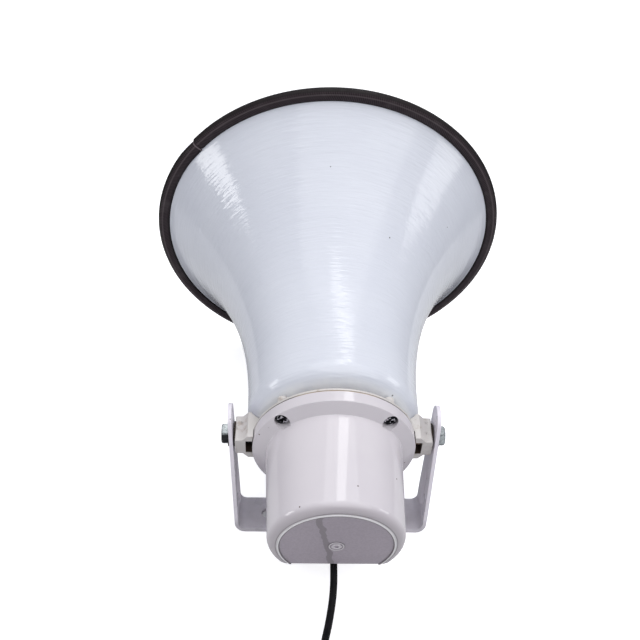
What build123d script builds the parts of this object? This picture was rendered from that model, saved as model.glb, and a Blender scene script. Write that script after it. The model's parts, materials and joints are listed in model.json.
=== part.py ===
from build123d import *
import os
from math import atan, cos, degrees, pi, radians, sin, tan

# Re-entrant public-address horn speaker on its U bracket.
#
# The frame is the bracket's. The origin is the centre of the base's lower face, +Z is up
# and +Y runs towards the mouth. The horn's own pieces are drawn about its axis, with the
# pivot at the origin and the mouth towards +Y, and are then tilted onto the bracket. The
# base and the lowest point of the rim trim stand on the same surface.
# Lengths are in millimetres and angles in degrees.

# Pose
horn_tilt = 17.0

# Flare: spun aluminium bell, closed at the neck by a rounded bottom
flare_wall = 1.0
neck_radius = 47.0
neck_rear_y = 3.0
shoulder_radius = 10.5
bell_length = 147.0
bell_growth = 55.0
bell_power = 2.3
bell_sections = 8
curl_radius = 8.0
neck_hole_gap = 0.5

# Rim trim: rubber channel pushed over the flare's curled edge
trim_over = 2.95
trim_depth = 8.4
trim_width = 6.05
trim_corner = 3.0
trim_lead = 0.825
trim_fit = 0.05

# Mounting ring: moulding that joins flare, driver, cover and bracket
ring_rear_y = -3.7
ring_step = 7.8
ring_flange = 1.1
hub_set_in = 0.5
horn_gasket_thickness = 0.6
throat_radius = 9.5
boss_radius = 2.8
boss_front_y = 2.6
neck_clearance = 0.4

# Ears of the mounting ring: hollow blocks that hold the pivot nuts
ear_reach = 9.2
ear_wall = 5.6
ear_half_height = 5.8
ear_root_half_height = 9.4
ear_waist = 3.9
ear_root = 6.8
ear_overlap = 3.0
ear_rear_y = -8.6
ear_front_y = 7.5
ear_pocket_front_y = 5.9
ear_edge = 0.7

# Pivot fasteners: M6 hex bolts in thin nuts, with plain and rubber washers
bolt_radius = 3.0
bolt_bore_radius = 3.2
bolt_head_flats = 10.0
bolt_head_height = 3.6
bolt_length = 12.0
nut_flats = 10.0
nut_height = 3.2
nut_slack = 0.1
thread_fit = 0.03
bolt_washer_radius = 6.8
bolt_washer_thickness = 0.5
friction_washer_radius = 6.8
friction_washer_thickness = 0.7
washer_gap = 0.35

# Bracket: bent steel strip with tapered arms and an embossed bead on each
strip_thickness = 2.0
strip_width = 26.5
arm_clearance = 0.35
arm_splay = 2.6
bend_radius = 4.0
arm_width = 18.5
arm_taper_z = 12.0
arm_end_rise = 9.0
bead_radius = 5.5
bead_height = 1.3
bead_low_z = 12.0
bead_length = 19.0
bead_tip_length = 34.0
base_hole_inset = 21.05
base_hole_radius = 4.2

# Rear cover: round housing with a step and a flat under its rear half
cover_gasket_thickness = 0.6
cover_wall = 2.4
flange_thickness = 6.2
flange_edge = 0.6
cone_length = 3.3
body_step = 6.9
body_draft = 2.3
cover_rear_y = -67.5
rear_corner = 5.0
flat_depth = 17.8
flat_start_y = -36.0
flat_edge = 1.5
seal_set_back = 0.2
rib_set_in = 5.1
rib_width = 1.1
rib_height = 0.5
mark_radius = 4.0
mark_flats = 5.0
mark_height = 0.4
mark_dimple_radius = 1.1

# Cover screws: self-tapping, cross-recess pan heads in round pockets
screw_edge = 4.5
screw_count = 4
screw_radius = 1.75
screw_hole_radius = 1.9
screw_head_radius = 3.7
screw_head_height = 2.6
screw_depth = 10.0
pocket_radius = 4.15
pocket_floor = 4.3
pocket_overrun = 1.0
recess_length = 4.4
recess_width = 0.8
recess_depth = 1.1
pilot_fit = 0.05

# Throat tube: moulded, with a flange inside the neck and a spider at its front
tube_flange_set_in = 3.5
tube_flange_thickness = 3.0
tube_spigot_radius = 13.0
tube_wall = 1.6
tube_front_y = 104.0
tube_front_radius = 16.2
tube_root = 5.0
spider_arms = 3
spider_arm_thickness = 2.0
spider_length = 14.0
spider_boss_radius = 4.5
spigot_gap = 0.05

# Reflector: closed bell that turns the sound back along the tube
reflector_rear_y = 24.0
reflector_front_y = 122.0
reflector_step = 0.5
reflector_draft = 5.5
reflector_wall = 1.6
reflector_dome = 20.0
reflector_screw_radius = 1.95
reflector_screw_length = 14.0
reflector_head_radius = 3.8
reflector_head_height = 2.6

# Screws that clamp the throat tube and the driver to the ring's hub
clamp_count = 3
clamp_radius = 1.5
clamp_hole_radius = 1.65
clamp_head_radius = 2.8
clamp_head_height = 2.3
tube_screw_edge = 7.0
tube_screw_angle = 30.0
driver_screw_edge = 3.0
driver_screw_angle = 90.0
hub_skin = 1.2

# Compression driver
throat_plate_gap = 4.5
throat_plate_thickness = 6.0
dome_recess_gap = 4.7
dome_recess_depth = 1.6
plug_rear_gap = 3.1
plug_length = 8.0
plug_rear_radius = 7.6
plug_fin_thickness = 1.0
plug_fin_length = 2.6
diaphragm_gap = 0.2
diaphragm_thickness = 0.4
surround_width = 11.2
dome_rise = 2.4
clamp_ring_gap = 5.2
clamp_ring_thickness = 2.9
coil_set_in = 0.3
coil_wall = 0.5
coil_length = 6.9
magnet_gap = 4.7
magnet_bore_step = 3.5
magnet_thickness = 10.0
top_plate_thickness = 4.0
coil_clearance = 0.5
pole_set_back = 0.4
back_plate_step = 1.5
back_plate_thickness = 4.0

# Line transformer and terminals
core_edge = 9.0
core_short = 6.0
core_stack = 14.0
core_z = 7.0
core_stand_off = 4.4
core_leg_half = 5.5
winding_fit = 0.15
winding_overhang = 3.8
clip_thickness = 0.8
clip_height = 12.0
clip_foot = 5.5
clip_lip = 3.6
terminal_width = 22.0
terminal_height = 5.6
terminal_thickness = 1.6
terminal_drop = 5.0
tag_width = 3.0
tag_height = 4.4
tag_thickness = 0.5

# Cable bush in the step of the cover, and the cord
cord_radius = 1.9
bush_collar_radius = 5.0
bush_collar_thickness = 1.5
bush_stem_radius = 3.5
bush_stem_fit = 0.05
bush_length = 14.0
bush_straight = 12.0
bush_root_radius = 4.2
bush_tip_radius = 2.9
bush_inner_collar_radius = 4.6
bush_inner_collar_thickness = 1.0
coil_centre = (14.3, -126.0)
coil_turn_radius = 21.0
coil_layers = 2
coil_rows = 2
tie_thickness = 0.8
tie_width = 4.0
core_wire_radius = 0.75
core_wire_length = 14.0
core_wire_spread = 0.95
core_wire_gap = 0.05


def turned(outline):
    """Solid of revolution about the horn's axis, from a (y, radius) outline."""
    return revolve(Plane.YZ * make_face(outline), Axis.Y)


def disc(radius, rear_y, front_y, bore=0.0):
    """Disc or ring about the horn's axis between two stations."""
    lift = Pos(0, rear_y, 0) * Rot(X=-90)
    seat = (Align.CENTER, Align.CENTER, Align.MIN)
    solid = lift * Cylinder(radius, front_y - rear_y, align=seat)
    if bore:
        solid -= lift * Cylinder(bore, front_y - rear_y, align=seat)
    return solid


def rod(radius, start, end):
    """Round bar from one point to another."""
    span = Vector(*end) - Vector(*start)
    seat = (Align.CENTER, Align.CENTER, Align.MIN)
    return Plane(origin=start, z_dir=span) * Cylinder(radius, span.length, align=seat)


def hex_bar(flats, start, end):
    """Hexagonal bar from one point to another, with two flats facing up and down."""
    span = Vector(*end) - Vector(*start)
    corner_way = (0, 1, 0) if abs(span.X) > abs(span.Y) else (1, 0, 0)
    base = Plane(origin=start, x_dir=corner_way, z_dir=span)
    return extrude(base * RegularPolygon(flats / 2, 6, major_radius=False), span.length)


def around(count, first_angle, circle):
    """Points (x, z) evenly spaced on a circle about the horn's axis."""
    step = 360 / count
    turns = [radians(first_angle + step * n) for n in range(count)]
    return [(circle * cos(turn), circle * sin(turn)) for turn in turns]


def bell_radius(share):
    """Outer radius of the bell at a share of its length."""
    return neck_radius + bell_growth * share ** bell_power


def bell_slope(share):
    """Angle between the bell's surface and the horn's axis."""
    return degrees(atan(bell_growth * bell_power * share ** (bell_power - 1) / bell_length))


# Radii that follow from the neck: ring, cover, driver and reflector
neck_hole_radius = tube_spigot_radius + neck_hole_gap
hub_radius = neck_radius - shoulder_radius - hub_set_in
ring_radius = hub_radius + ring_step
screw_circle = ring_radius - screw_edge
body_front_radius = ring_radius - body_step
body_rear_radius = body_front_radius - body_draft
cover_seat_radius = body_front_radius - cover_wall - seal_set_back
rib_radius = body_rear_radius - rib_set_in
bush_z = -(flat_depth + body_rear_radius) / 2
tube_flange_radius = neck_radius - shoulder_radius - tube_flange_set_in
tube_screw_circle = tube_flange_radius - tube_screw_edge
reflector_rear_radius = tube_flange_radius - reflector_step
reflector_front_radius = reflector_rear_radius - reflector_draft
throat_plate_radius = body_front_radius - cover_wall - throat_plate_gap
driver_screw_circle = throat_plate_radius - driver_screw_edge
diaphragm_radius = driver_screw_circle - clamp_head_radius - diaphragm_gap
dome_radius = diaphragm_radius - surround_width
dome_recess_radius = dome_radius + dome_recess_gap
clamp_ring_bore = dome_radius + clamp_ring_gap
coil_inner_radius = dome_radius - coil_set_in
gap_outer_radius = coil_inner_radius + coil_wall + coil_clearance
pole_radius = coil_inner_radius - coil_clearance
magnet_bore = gap_outer_radius + magnet_bore_step
magnet_radius = body_rear_radius - cover_wall - magnet_gap
back_plate_radius = magnet_radius - back_plate_step
core_width = 2 * (back_plate_radius - core_edge)
core_height = core_width - core_short
window_width = (core_width / 2 - core_leg_half) / 2
window_height = core_height - 2 * core_leg_half
terminal_z = core_z - core_height / 2 - terminal_drop

# Places across the pivot axis, from the ring outwards
ear_outer_x = ring_radius + ear_reach
ear_waist_x = ear_outer_x - ear_waist
ear_root_x = ear_outer_x - ear_root
ear_inner_x = hub_radius - ear_overlap
ear_pocket_x = ear_outer_x - ear_wall
arm_outer_x = ear_outer_x + friction_washer_thickness + arm_clearance + strip_thickness
base_hole_x = arm_outer_x - base_hole_inset
washer_seat_x = arm_outer_x + washer_gap
head_seat_x = washer_seat_x + bolt_washer_thickness

# Stations along the horn's axis that several pieces share
bell_start_y = neck_rear_y + shoulder_radius
bell_end_y = bell_start_y + bell_length
end_slope = bell_slope(1)
lip_y = bell_end_y + curl_radius * (1 - sin(radians(end_slope)))
lip_radius = bell_radius(1) + curl_radius * cos(radians(end_slope))
trim_y = lip_y + trim_lead
trim_radius = lip_radius + trim_over
hub_front_y = neck_rear_y - horn_gasket_thickness
cover_front_y = ring_rear_y - cover_gasket_thickness
flange_rear_y = cover_front_y - flange_thickness
cone_rear_y = flange_rear_y - cone_length
screw_seat_y = cover_front_y - pocket_floor
screw_points = around(screw_count, 45, screw_circle)
neck_floor_y = neck_rear_y + flare_wall
tube_seat_y = neck_floor_y + tube_flange_thickness
driver_rear_y = ring_rear_y - throat_plate_thickness
top_plate_y = driver_rear_y - diaphragm_thickness - clamp_ring_thickness
magnet_y = top_plate_y - top_plate_thickness
back_plate_y = magnet_y - magnet_thickness
motor_rear_y = back_plate_y - back_plate_thickness
core_front_y = motor_rear_y - core_stand_off
core_rear_y = core_front_y - core_stack
core_mid_y = (core_front_y + core_rear_y) / 2
bush_tip_y = flat_start_y - bush_length

# Height of the pivot that puts the base and the trim's lowest point on one surface
trim_low_y = trim_y - trim_width / 2 + trim_corner
trim_low_radius = trim_radius - trim_corner
tilt = radians(horn_tilt)
pivot_height = trim_low_radius * cos(tilt) - trim_low_y * sin(tilt) + trim_corner


def on_bracket(shape):
    """Tilts a piece drawn about the horn's axis and lifts it onto the pivot."""
    return Pos(0, 0, pivot_height) * Rot(X=horn_tilt) * shape


def flare_side(inset):
    """The flare's section line, set in from its outer surface."""
    bottom_y = neck_rear_y + inset
    bottom = Line((bottom_y, neck_hole_radius), (bottom_y, neck_radius - shoulder_radius))
    shoulder = JernArc(bottom @ 1, (0, 1), shoulder_radius - inset, -90)
    points = []
    for n in range(bell_sections + 1):
        share = n / bell_sections
        slope = radians(bell_slope(share))
        y = bell_start_y + bell_length * share + inset * sin(slope)
        points.append((y, bell_radius(share) - inset * cos(slope)))
    end = (cos(radians(end_slope)), sin(radians(end_slope)))
    bell = Spline(points, tangents=((1, 0), end))
    curl = JernArc(bell @ 1, end, curl_radius + inset, 90 - end_slope)
    return [bottom, shoulder, bell, curl]


def flare_shell(outer_inset, inner_inset):
    """Shell between two section lines of the flare."""
    outer = flare_side(outer_inset)
    inner = flare_side(inner_inset)
    closing = [Line(outer[0] @ 0, inner[0] @ 0), Line(outer[-1] @ 1, inner[-1] @ 1)]
    return turned(outer + inner + closing)


def neck_block(clearance):
    """The neck and bell as a filled block, grown outwards by a clearance."""
    side = flare_side(-clearance)
    start, end = side[0] @ 0, side[-1] @ 1
    closing = Polyline((end.X, end.Y), (end.X, 0), (start.X, 0), (start.X, start.Y))
    return turned(side + [closing])


def horn_flare():
    flare = flare_shell(0, flare_wall)
    for x, z in around(clamp_count, tube_screw_angle, tube_screw_circle):
        flare -= rod(clamp_hole_radius, (x, neck_rear_y - 1, z), (x, neck_floor_y + 1, z))
    return flare


def rim_trim():
    section = RectangleRounded(trim_width, trim_depth, trim_corner)
    section = Pos(trim_y, trim_radius - trim_depth / 2) * section
    trim = revolve(Plane.YZ * section, Axis.Y)
    return trim - flare_shell(-trim_fit, flare_wall + trim_fit)


def ear():
    """Right-hand ear before it is fitted to its neighbours."""
    corners = [
        (ear_inner_x, ear_root_half_height),
        (ear_root_x, ear_root_half_height),
        (ear_waist_x, ear_half_height),
        (ear_outer_x, ear_half_height),
    ]
    mirrored = [(x, -z) for x, z in reversed(corners)]
    outline = make_face(Polyline(*corners, *mirrored, close=True))
    block = Pos(0, ear_front_y, 0) * extrude(Plane.XZ * outline, ear_front_y - ear_rear_y)
    outer_edges = block.edges().filter_by(Axis.Y).group_by(Axis.X)[-1]
    return fillet(outer_edges, ear_edge)


def mounting_ring():
    ears = ear()
    ears += mirror(ears, about=Plane.YZ)
    ears -= disc(ring_radius + neck_clearance, ear_rear_y - 1, ring_rear_y)
    ring = disc(ring_radius, ring_rear_y, ring_rear_y + ring_flange)
    ring += disc(hub_radius, ring_rear_y, hub_front_y)
    for x, z in screw_points:
        ring += rod(boss_radius, (x, ring_rear_y, z), (x, boss_front_y, z))
    gasket_seat = disc(hub_radius + neck_clearance, hub_front_y, neck_rear_y)
    ring += ears - neck_block(neck_clearance) - gasket_seat
    pocket_inner_x = ring_radius + neck_clearance / 2
    pocket = Box(
        ear_pocket_x - pocket_inner_x,
        ear_pocket_front_y - ear_rear_y,
        nut_flats + 2 * nut_slack,
        align=(Align.MIN, Align.MIN, Align.CENTER),
    )
    pocket = Pos(pocket_inner_x, ear_rear_y, 0) * pocket
    ring -= pocket
    ring -= mirror(pocket, about=Plane.YZ)
    for side in (-1, 1):
        near = (side * (ear_pocket_x - 1), 0, 0)
        far = (side * (ear_outer_x + 1), 0, 0)
        ring -= rod(bolt_bore_radius, near, far)
    ring -= disc(throat_radius, ring_rear_y - 1, hub_front_y + 1)
    for x, z in screw_points:
        ring -= rod(screw_radius + pilot_fit, (x, ring_rear_y, z), (x, screw_seat_y + screw_depth, z))
    for x, z in around(clamp_count, tube_screw_angle, tube_screw_circle):
        ring -= rod(clamp_radius + pilot_fit, (x, ring_rear_y + hub_skin, z), (x, hub_front_y, z))
    for x, z in around(clamp_count, driver_screw_angle, driver_screw_circle):
        ring -= rod(clamp_radius + pilot_fit, (x, ring_rear_y, z), (x, hub_front_y - hub_skin, z))
    return ring


def horn_gasket():
    gasket = disc(hub_radius, hub_front_y, neck_rear_y, neck_hole_radius)
    for x, z in around(clamp_count, tube_screw_angle, tube_screw_circle):
        gasket -= rod(clamp_hole_radius, (x, hub_front_y - 1, z), (x, neck_rear_y + 1, z))
    return gasket


def cover_gasket():
    gasket = disc(ring_radius, cover_front_y, ring_rear_y, cover_seat_radius)
    for x, z in screw_points:
        gasket -= rod(screw_hole_radius, (x, cover_front_y - 1, z), (x, ring_rear_y + 1, z))
    return gasket


def cover_body(inset):
    """Round body of the cover, set in from its outer surface, with its step and flat."""
    rear_y = cover_rear_y + inset
    front_radius = body_front_radius - inset
    rear_radius = body_rear_radius - inset
    outline = Polyline(
        (cover_front_y, 0),
        (cover_front_y, front_radius),
        (rear_y, rear_radius),
        (rear_y, 0),
        close=True,
    )
    face = make_face(outline)
    corner = face.vertices().sort_by_distance((rear_y, rear_radius, 0))[0]
    body = revolve(Plane.YZ * fillet(corner, rear_corner - inset), Axis.Y)
    step_y = flat_start_y + inset
    length = step_y - cover_rear_y + 1
    below = Box(
        2 * body_front_radius,
        length,
        body_front_radius,
        align=(Align.CENTER, Align.MAX, Align.MAX),
    )
    return body - Pos(0, step_y, inset - flat_depth) * below


def panel_marks():
    """Raised rib round the rear panel and the moulded mark at its centre."""
    top_y = cover_rear_y - rib_height
    rib = disc(rib_radius, top_y, cover_rear_y, rib_radius - rib_width)
    keep = Pos(0, 0, -flat_depth) * Box(
        4 * rib_radius, 400, 4 * rib_radius, align=(Align.CENTER, Align.CENTER, Align.MIN)
    )
    mark_y = cover_rear_y - mark_height
    mark = disc(mark_radius, mark_y, cover_rear_y, mark_radius - 0.7)
    mark += hex_bar(mark_flats, (0, cover_rear_y, 0), (0, mark_y, 0))
    mark -= disc(mark_dimple_radius, mark_y, cover_rear_y)
    return (rib & keep) + mark


def rear_cover():
    flange = make_face(
        Polyline(
            (cover_front_y, 0),
            (cover_front_y, ring_radius),
            (flange_rear_y, ring_radius),
            (cone_rear_y, body_front_radius - 0.5),
            (cone_rear_y, 0),
            close=True,
        )
    )
    corner = flange.vertices().sort_by_distance((flange_rear_y, ring_radius, 0))[0]
    flange = revolve(Plane.YZ * fillet(corner, flange_edge), Axis.Y)
    cover = cover_body(0) + flange + panel_marks()
    cover -= cover_body(cover_wall)
    for x, z in screw_points:
        cover -= rod(pocket_radius, (x, screw_seat_y, z), (x, cone_rear_y - pocket_overrun, z))
        cover -= rod(screw_hole_radius, (x, cover_front_y + 1, z), (x, screw_seat_y - 1, z))
    hole_start = (0, flat_start_y - 1, bush_z)
    hole_end = (0, flat_start_y + cover_wall + 1, bush_z)
    return cover - rod(bush_stem_radius + bush_stem_fit, hole_start, hole_end)


def pan_screw(x, z, seat_y, head, shank):
    """Pan-head screw with a cross recess, its head towards the rear."""
    head_radius, head_height = head
    radius, length = shank
    top_y = seat_y - head_height
    body = rod(head_radius, (x, seat_y, z), (x, top_y, z))
    rim = body.edges().sort_by(Axis.Y)[0]
    body = fillet(rim, head_height * 0.45)
    for width, height in ((recess_length, recess_width), (recess_width, recess_length)):
        body -= Pos(x, top_y, z) * Box(width, 2 * recess_depth, height)
    return body + rod(radius, (x, seat_y, z), (x, seat_y + length, z))


def cover_screws():
    head = (screw_head_radius, screw_head_height)
    shank = (screw_radius, screw_depth - 0.3)
    return Compound([pan_screw(x, z, screw_seat_y, head, shank) for x, z in screw_points])


def both_sides(piece):
    """The piece and its mirror image, as two separate solids."""
    return Compound([piece, mirror(piece, about=Plane.YZ)])


def pivot_bolts():
    bolt = rod(bolt_radius, (head_seat_x - bolt_length, 0, 0), (head_seat_x, 0, 0))
    head_end = (head_seat_x + bolt_head_height, 0, 0)
    head = hex_bar(bolt_head_flats, (head_seat_x, 0, 0), head_end)
    crown = Cone(
        bolt_head_flats / 2 + bolt_head_height,
        bolt_head_flats / 2 - 0.3,
        bolt_head_height,
        align=(Align.CENTER, Align.CENTER, Align.MIN),
    )
    head &= Plane(origin=(head_seat_x, 0, 0), z_dir=(1, 0, 0)) * crown
    return both_sides(bolt + head)


def pivot_nuts():
    nut = hex_bar(nut_flats, (ear_pocket_x - nut_height, 0, 0), (ear_pocket_x, 0, 0))
    bore = bolt_radius + thread_fit
    return both_sides(nut - rod(bore, (ear_pocket_x - 2 * nut_height, 0, 0), (ear_pocket_x + 1, 0, 0)))


def washer(radius, thickness, seat_x):
    """Washer round the pivot bolt, from its seat outwards."""
    blank = rod(radius, (seat_x, 0, 0), (seat_x + thickness, 0, 0))
    return both_sides(blank - rod(bolt_bore_radius, (seat_x - 1, 0, 0), (seat_x + thickness + 1, 0, 0)))


def arm_line(z, inset):
    """Half-width of the strip's arm at a height, set in from its outer face."""
    splay = radians(arm_splay)
    return arm_outer_x + (z - pivot_height) * tan(splay) - inset / cos(splay)


def bead_core():
    """Round core of the arm's bead, drawn in the right-hand arm's own plane."""
    splay = radians(arm_splay)
    start = (arm_line(bead_low_z, strip_thickness), 0, bead_low_z)
    arm = Plane(origin=start, x_dir=(-cos(splay), 0, sin(splay)), z_dir=(sin(splay), 0, cos(splay)))
    seat = (Align.CENTER, Align.CENTER, Align.MIN)
    set_back = bead_height - bead_radius
    core = Cylinder(bead_radius, bead_length, align=seat)
    core += Pos(0, 0, bead_length) * Cone(bead_radius, 0.1, bead_tip_length, align=seat)
    core += Rot(X=180) * Cone(bead_radius, 0.1, bead_tip_length / 3, align=seat)
    return arm, Pos(set_back, 0, 0) * core


def bracket():
    end_z = pivot_height + arm_end_rise
    top_z = end_z + arm_width / 2
    faces = []
    for inset, radius in ((0, bend_radius + strip_thickness), (strip_thickness, bend_radius)):
        low_x = arm_line(inset, inset)
        high_x = arm_line(top_z, inset)
        path = [(-high_x, top_z), (-low_x, inset), (low_x, inset), (high_x, top_z)]
        faces.append(make_face([FilletPolyline(*path, radius=radius), Line(path[-1], path[0])]))
    strip = extrude(Plane.XZ * (faces[0] - faces[1]), strip_width / 2, both=True)
    corners = [(strip_width / 2, 0), (strip_width / 2, arm_taper_z), (arm_width / 2, end_z)]
    mirrored = [(-y, z) for y, z in reversed(corners)]
    side = make_face(Polyline(*corners, *mirrored, close=True))
    side += Pos(0, end_z) * Circle(arm_width / 2)
    strip &= extrude(Plane.YZ * side, 2 * arm_outer_x, both=True)
    arm, core = bead_core()
    raised = core & Pos(bead_height / 2, 0, 0) * Box(bead_height, 4 * bead_radius, 4 * bead_tip_length)
    hollow = arm * (Pos(-strip_thickness, 0, 0) * core)
    raised = arm * raised
    strip += raised
    strip += mirror(raised, about=Plane.YZ)
    strip -= hollow
    strip -= mirror(hollow, about=Plane.YZ)
    axle = (2 * arm_outer_x, 0, pivot_height)
    strip -= rod(bolt_bore_radius, (-axle[0], 0, axle[2]), axle)
    for x in (-base_hole_x, base_hole_x):
        strip -= rod(base_hole_radius, (x, 0, -1), (x, 0, strip_thickness + 1))
    return strip


def throat_tube():
    rear_y = hub_front_y + spigot_gap
    outer = make_face(
        Polyline(
            (rear_y, 0),
            (rear_y, tube_spigot_radius),
            (neck_floor_y, tube_spigot_radius),
            (neck_floor_y, tube_flange_radius),
            (tube_seat_y, tube_flange_radius),
            (tube_seat_y, throat_radius + tube_wall),
            (tube_front_y, tube_front_radius + tube_wall),
            (tube_front_y, 0),
            close=True,
        )
    )
    root = outer.vertices().sort_by_distance((tube_seat_y, throat_radius + tube_wall, 0))[0]
    tube = revolve(Plane.YZ * fillet(root, tube_root), Axis.Y)
    bore = Polyline(
        (rear_y, 0), (rear_y, throat_radius), (tube_front_y, tube_front_radius), (tube_front_y, 0), close=True
    )
    tube -= turned(bore)
    boss_rear_y = tube_front_y - spider_length
    boss_front = reflector_front_y - reflector_wall
    reach = tube_front_radius + tube_wall / 2
    for n in range(spider_arms):
        arm = Box(
            spider_arm_thickness,
            spider_length,
            reach,
            align=(Align.CENTER, Align.MIN, Align.MIN),
        )
        tube += Rot(Y=360 / spider_arms * n) * Pos(0, boss_rear_y, 0) * arm
    tube += disc(spider_boss_radius, boss_rear_y, boss_front)
    screw_end_y = reflector_front_y - reflector_screw_length
    tube -= disc(reflector_screw_radius + pilot_fit, screw_end_y - 1, boss_front)
    for x, z in around(clamp_count, tube_screw_angle, tube_screw_circle):
        tube -= rod(clamp_hole_radius, (x, neck_floor_y - 1, z), (x, tube_seat_y + 1, z))
    return tube


def reflector_cup(inset):
    """Filled form of the reflector, set in from its outer surface."""
    front_y = reflector_front_y - inset
    outline = make_face(
        Polyline(
            (reflector_rear_y, 0),
            (reflector_rear_y, reflector_rear_radius - inset),
            (front_y, reflector_front_radius - inset),
            (front_y, 0),
            close=True,
        )
    )
    corner = outline.vertices().sort_by_distance((front_y, reflector_front_radius - inset, 0))[0]
    return revolve(Plane.YZ * fillet(corner, reflector_dome - inset), Axis.Y)


def reflector():
    cup = reflector_cup(0) - reflector_cup(reflector_wall)
    return cup - disc(reflector_screw_radius + pilot_fit, reflector_front_y - 5, reflector_front_y + 1)


def reflector_screw():
    top_y = reflector_front_y + reflector_head_height
    head = disc(reflector_head_radius, reflector_front_y, top_y)
    head = fillet(head.edges().sort_by(Axis.Y)[-1], reflector_head_height * 0.45)
    for width, height in ((recess_length, recess_width), (recess_width, recess_length)):
        head -= Pos(0, top_y, 0) * Box(width, 2 * recess_depth, height)
    return head + disc(reflector_screw_radius, reflector_front_y - reflector_screw_length, reflector_front_y)


def clamp_screws(circle, first_angle, seat_y, end_y):
    """Cheese-head screws from a seat towards the hub."""
    away = 1 if seat_y > end_y else -1
    screws = []
    for x, z in around(clamp_count, first_angle, circle):
        top_y = seat_y + away * clamp_head_height
        screw = rod(clamp_head_radius, (x, seat_y, z), (x, top_y, z))
        screw -= Pos(x, top_y, z) * Box(2 * clamp_head_radius + 1, 2 * recess_depth, recess_width)
        screws.append(screw + rod(clamp_radius, (x, seat_y, z), (x, end_y, z)))
    return Compound(screws)


def throat_plate():
    plate = disc(throat_plate_radius, driver_rear_y, ring_rear_y, throat_radius)
    plate -= disc(dome_recess_radius, driver_rear_y, driver_rear_y + dome_recess_depth)
    for x, z in around(clamp_count, driver_screw_angle, driver_screw_circle):
        plate -= rod(clamp_hole_radius, (x, driver_rear_y - 1, z), (x, ring_rear_y + 1, z))
    return plate


def phase_plug():
    rear_y = driver_rear_y + plug_rear_gap
    seat = (Align.CENTER, Align.CENTER, Align.MIN)
    cone = Cone(plug_rear_radius, 0.4, plug_length, align=seat)
    plug = Pos(0, rear_y, 0) * Rot(X=-90) * cone
    reach = throat_radius - pilot_fit
    for n in range(spider_arms):
        fin = Box(plug_fin_thickness, plug_fin_length, reach, align=(Align.CENTER, Align.MIN, Align.MIN))
        plug += Rot(Y=360 / spider_arms * n) * Pos(0, rear_y, 0) * fin
    return plug & disc(reach, rear_y, rear_y + plug_length)


def diaphragm():
    front_y = driver_rear_y
    rear_y = front_y - diaphragm_thickness
    inner_radius = (dome_radius ** 2 + dome_rise ** 2) / (2 * dome_rise)
    centre_y = rear_y + dome_rise - inner_radius
    outer_radius = inner_radius + diaphragm_thickness
    front_dome_radius = (outer_radius ** 2 - (front_y - centre_y) ** 2) ** 0.5
    inner = RadiusArc((rear_y, dome_radius), (rear_y + dome_rise, 0), inner_radius)
    outer = RadiusArc((front_y, front_dome_radius), (front_y + dome_rise, 0), outer_radius)
    sides = [
        Line(inner @ 1, outer @ 1),
        Line(outer @ 0, (front_y, diaphragm_radius)),
        Line((front_y, diaphragm_radius), (rear_y, diaphragm_radius)),
        Line((rear_y, diaphragm_radius), inner @ 0),
    ]
    return turned([inner, outer] + sides)


def clamp_ring():
    front_y = driver_rear_y - diaphragm_thickness
    return disc(diaphragm_radius, front_y - clamp_ring_thickness, front_y, clamp_ring_bore)


def voice_coil():
    front_y = driver_rear_y - diaphragm_thickness
    return disc(coil_inner_radius + coil_wall, front_y - coil_length, front_y, coil_inner_radius)


def top_plate():
    return disc(magnet_radius, magnet_y, top_plate_y, gap_outer_radius)


def magnet():
    return disc(magnet_radius, back_plate_y, magnet_y, magnet_bore)


def back_plate():
    plate = disc(back_plate_radius, motor_rear_y, back_plate_y)
    return plate + disc(pole_radius, back_plate_y, top_plate_y - pole_set_back)


def transformer_core():
    core = Pos(0, core_mid_y, core_z) * Box(core_width, core_stack, core_height)
    for side in (-1, 1):
        x = side * (core_leg_half + window_width / 2)
        core -= Pos(x, core_mid_y, core_z) * Box(window_width, core_stack + 2, window_height)
    return core


def transformer_winding():
    half_width = core_leg_half + window_width - winding_fit
    size = (2 * half_width, core_stack + 2 * winding_overhang, window_height - 2 * winding_fit)
    winding = Pos(0, core_mid_y, core_z) * Box(*size)
    winding = fillet(winding.edges().filter_by(Axis.Z), 1.5)
    leg_half = core_leg_half + winding_fit
    return winding - Pos(0, core_mid_y, core_z) * Box(2 * leg_half, core_stack + 2 * winding_fit, core_height)


def transformer_clips():
    """Sheet clips that hold the core down on the driver's back plate."""
    wall_x = core_width / 2
    rear_y = core_rear_y - clip_thickness
    outline = Polyline(
        (wall_x + clip_thickness + clip_foot, motor_rear_y),
        (wall_x, motor_rear_y),
        (wall_x, core_rear_y),
        (wall_x - clip_lip, core_rear_y),
        (wall_x - clip_lip, rear_y),
        (wall_x + clip_thickness, rear_y),
        (wall_x + clip_thickness, motor_rear_y - clip_thickness),
        (wall_x + clip_thickness + clip_foot, motor_rear_y - clip_thickness),
        close=True,
    )
    clip = extrude(Pos(0, 0, core_z) * make_face(outline), clip_height / 2, both=True)
    return both_sides(clip)


def terminal_strip():
    rear_y = motor_rear_y - terminal_thickness
    seat = (Align.CENTER, Align.MAX, Align.CENTER)
    return Pos(0, motor_rear_y, terminal_z) * Box(terminal_width, motor_rear_y - rear_y, terminal_height, align=seat)


def terminal_tags():
    rear_y = motor_rear_y - terminal_thickness
    seat = (Align.CENTER, Align.MAX, Align.CENTER)
    tags = []
    for side in (-1, 1):
        tag = Box(tag_width, tag_thickness, tag_height, align=seat)
        tags.append(Pos(side * terminal_width / 4, rear_y, terminal_z) * tag)
    return Compound(tags)


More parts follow.
